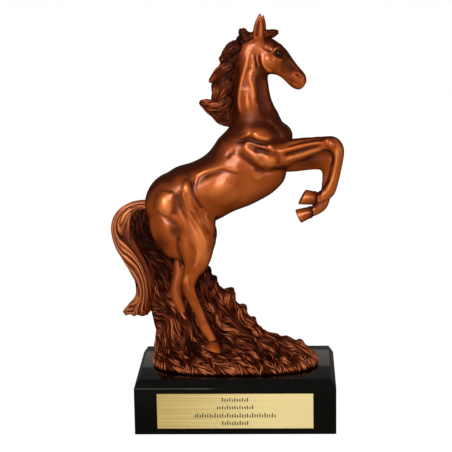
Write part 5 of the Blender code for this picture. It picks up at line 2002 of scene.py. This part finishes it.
@dataclass
class Studio:
    """Pale floor, soft lights and white surroundings.

    Each light is a name, a place and a size in metres, a power, and whether it shows in glossy surfaces.
    """

    lights: tuple[tuple, ...] = (
        ("key", (-0.40, -1.10, 0.66), (0.50, 0.42), 7.2, True),
        ("strip", (-0.22, -1.25, 0.52), (0.12, 0.96), 1.4, True),
        ("glint", (0.80, -1.00, 0.26), (0.10, 0.44), 0.8, True),
        ("right", (0.85, -0.95, 0.30), (0.30, 0.50), 3.5, False),
        ("fill", (-0.05, -1.40, 0.28), (1.20, 0.50), 12.0, False),
        ("back", (0.0, 1.50, 0.42), (2.00, 0.30), 0.5, True),
        ("rear", (0.30, 1.30, 0.60), (1.00, 0.60), 9.0, False))
    warmth: Colour = (1.0, 0.90, 0.74)
    target: Triple = (0.0, 0.0, 0.14)
    ambient: float = 0.10
    floor_half: float = 6

    def build_floor(self) -> None:
        """Pale floor that only the stage shows."""
        half = self.floor_half
        points = [(-half, -half, 0), (half, -half, 0), (half, half, 0), (-half, half, 0)]
        mesh = bpy.data.meshes.new("floor")
        mesh.from_pydata(points, [], [(0, 1, 2, 3)])
        mesh.materials.append(PaleFloor().material())
        add_object("floor", mesh)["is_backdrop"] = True

    def build_lights(self) -> None:
        """Soft rectangular lamps that the camera does not see."""
        for name, place, size, power, shows_in_gloss in self.lights:
            data = bpy.data.lights.new(name, "AREA")
            data.shape = "RECTANGLE"
            data.size, data.size_y = size
            data.energy = power
            data.color = self.warmth
            lamp = add_object(name, data)
            lamp.location = place
            lamp.rotation_euler = (Vector(self.target) - Vector(place)).to_track_quat("-Z", "Y").to_euler()
            lamp.visible_camera = False
            lamp.visible_glossy = shows_in_gloss

    def build_world(self) -> None:
        """White surroundings that light the trophy only faintly."""
        world = bpy.data.worlds.new("studio")
        world.use_nodes = True
        wiring = Wiring(world.node_tree)
        ground = world.node_tree.nodes["Background"].inputs
        seen = wiring.node("ShaderNodeLightPath", {}).outputs["Is Camera Ray"]
        wiring.feed(ground["Color"], (1, 1, 1, 1))
        wiring.feed(ground["Strength"], wiring.ramp(seen, (0, 1), (self.ambient, 1), "LINEAR"))
        scene = bpy.context.scene
        scene.world = world
        scene.view_settings.view_transform = "Standard"
        scene.view_settings.look = "None"

    def build(self) -> None:
        """Floor, lights and world."""
        self.build_floor()
        self.build_lights()
        self.build_world()


def corners() -> list[list[float]]:
    """Lowest and highest corner of what is shown, as plain lists."""
    return [list(corner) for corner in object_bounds()]


def main() -> None:
    """Build the trophy piece by piece and report each."""
    logging.basicConfig(level=logging.INFO, format="%(message)s")
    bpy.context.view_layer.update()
    camera = Camera()
    camera.build()
    horse = HorseBody()
    horse.build(camera.eye())
    horse.build_eyes()
    Mane().build(camera.eye())
    Tail().build()
    GrassMound().build(camera.eye())
    Plinth().build()
    NamePlate().dress()
    Studio().build()


if __name__ == "__main__":
    main()
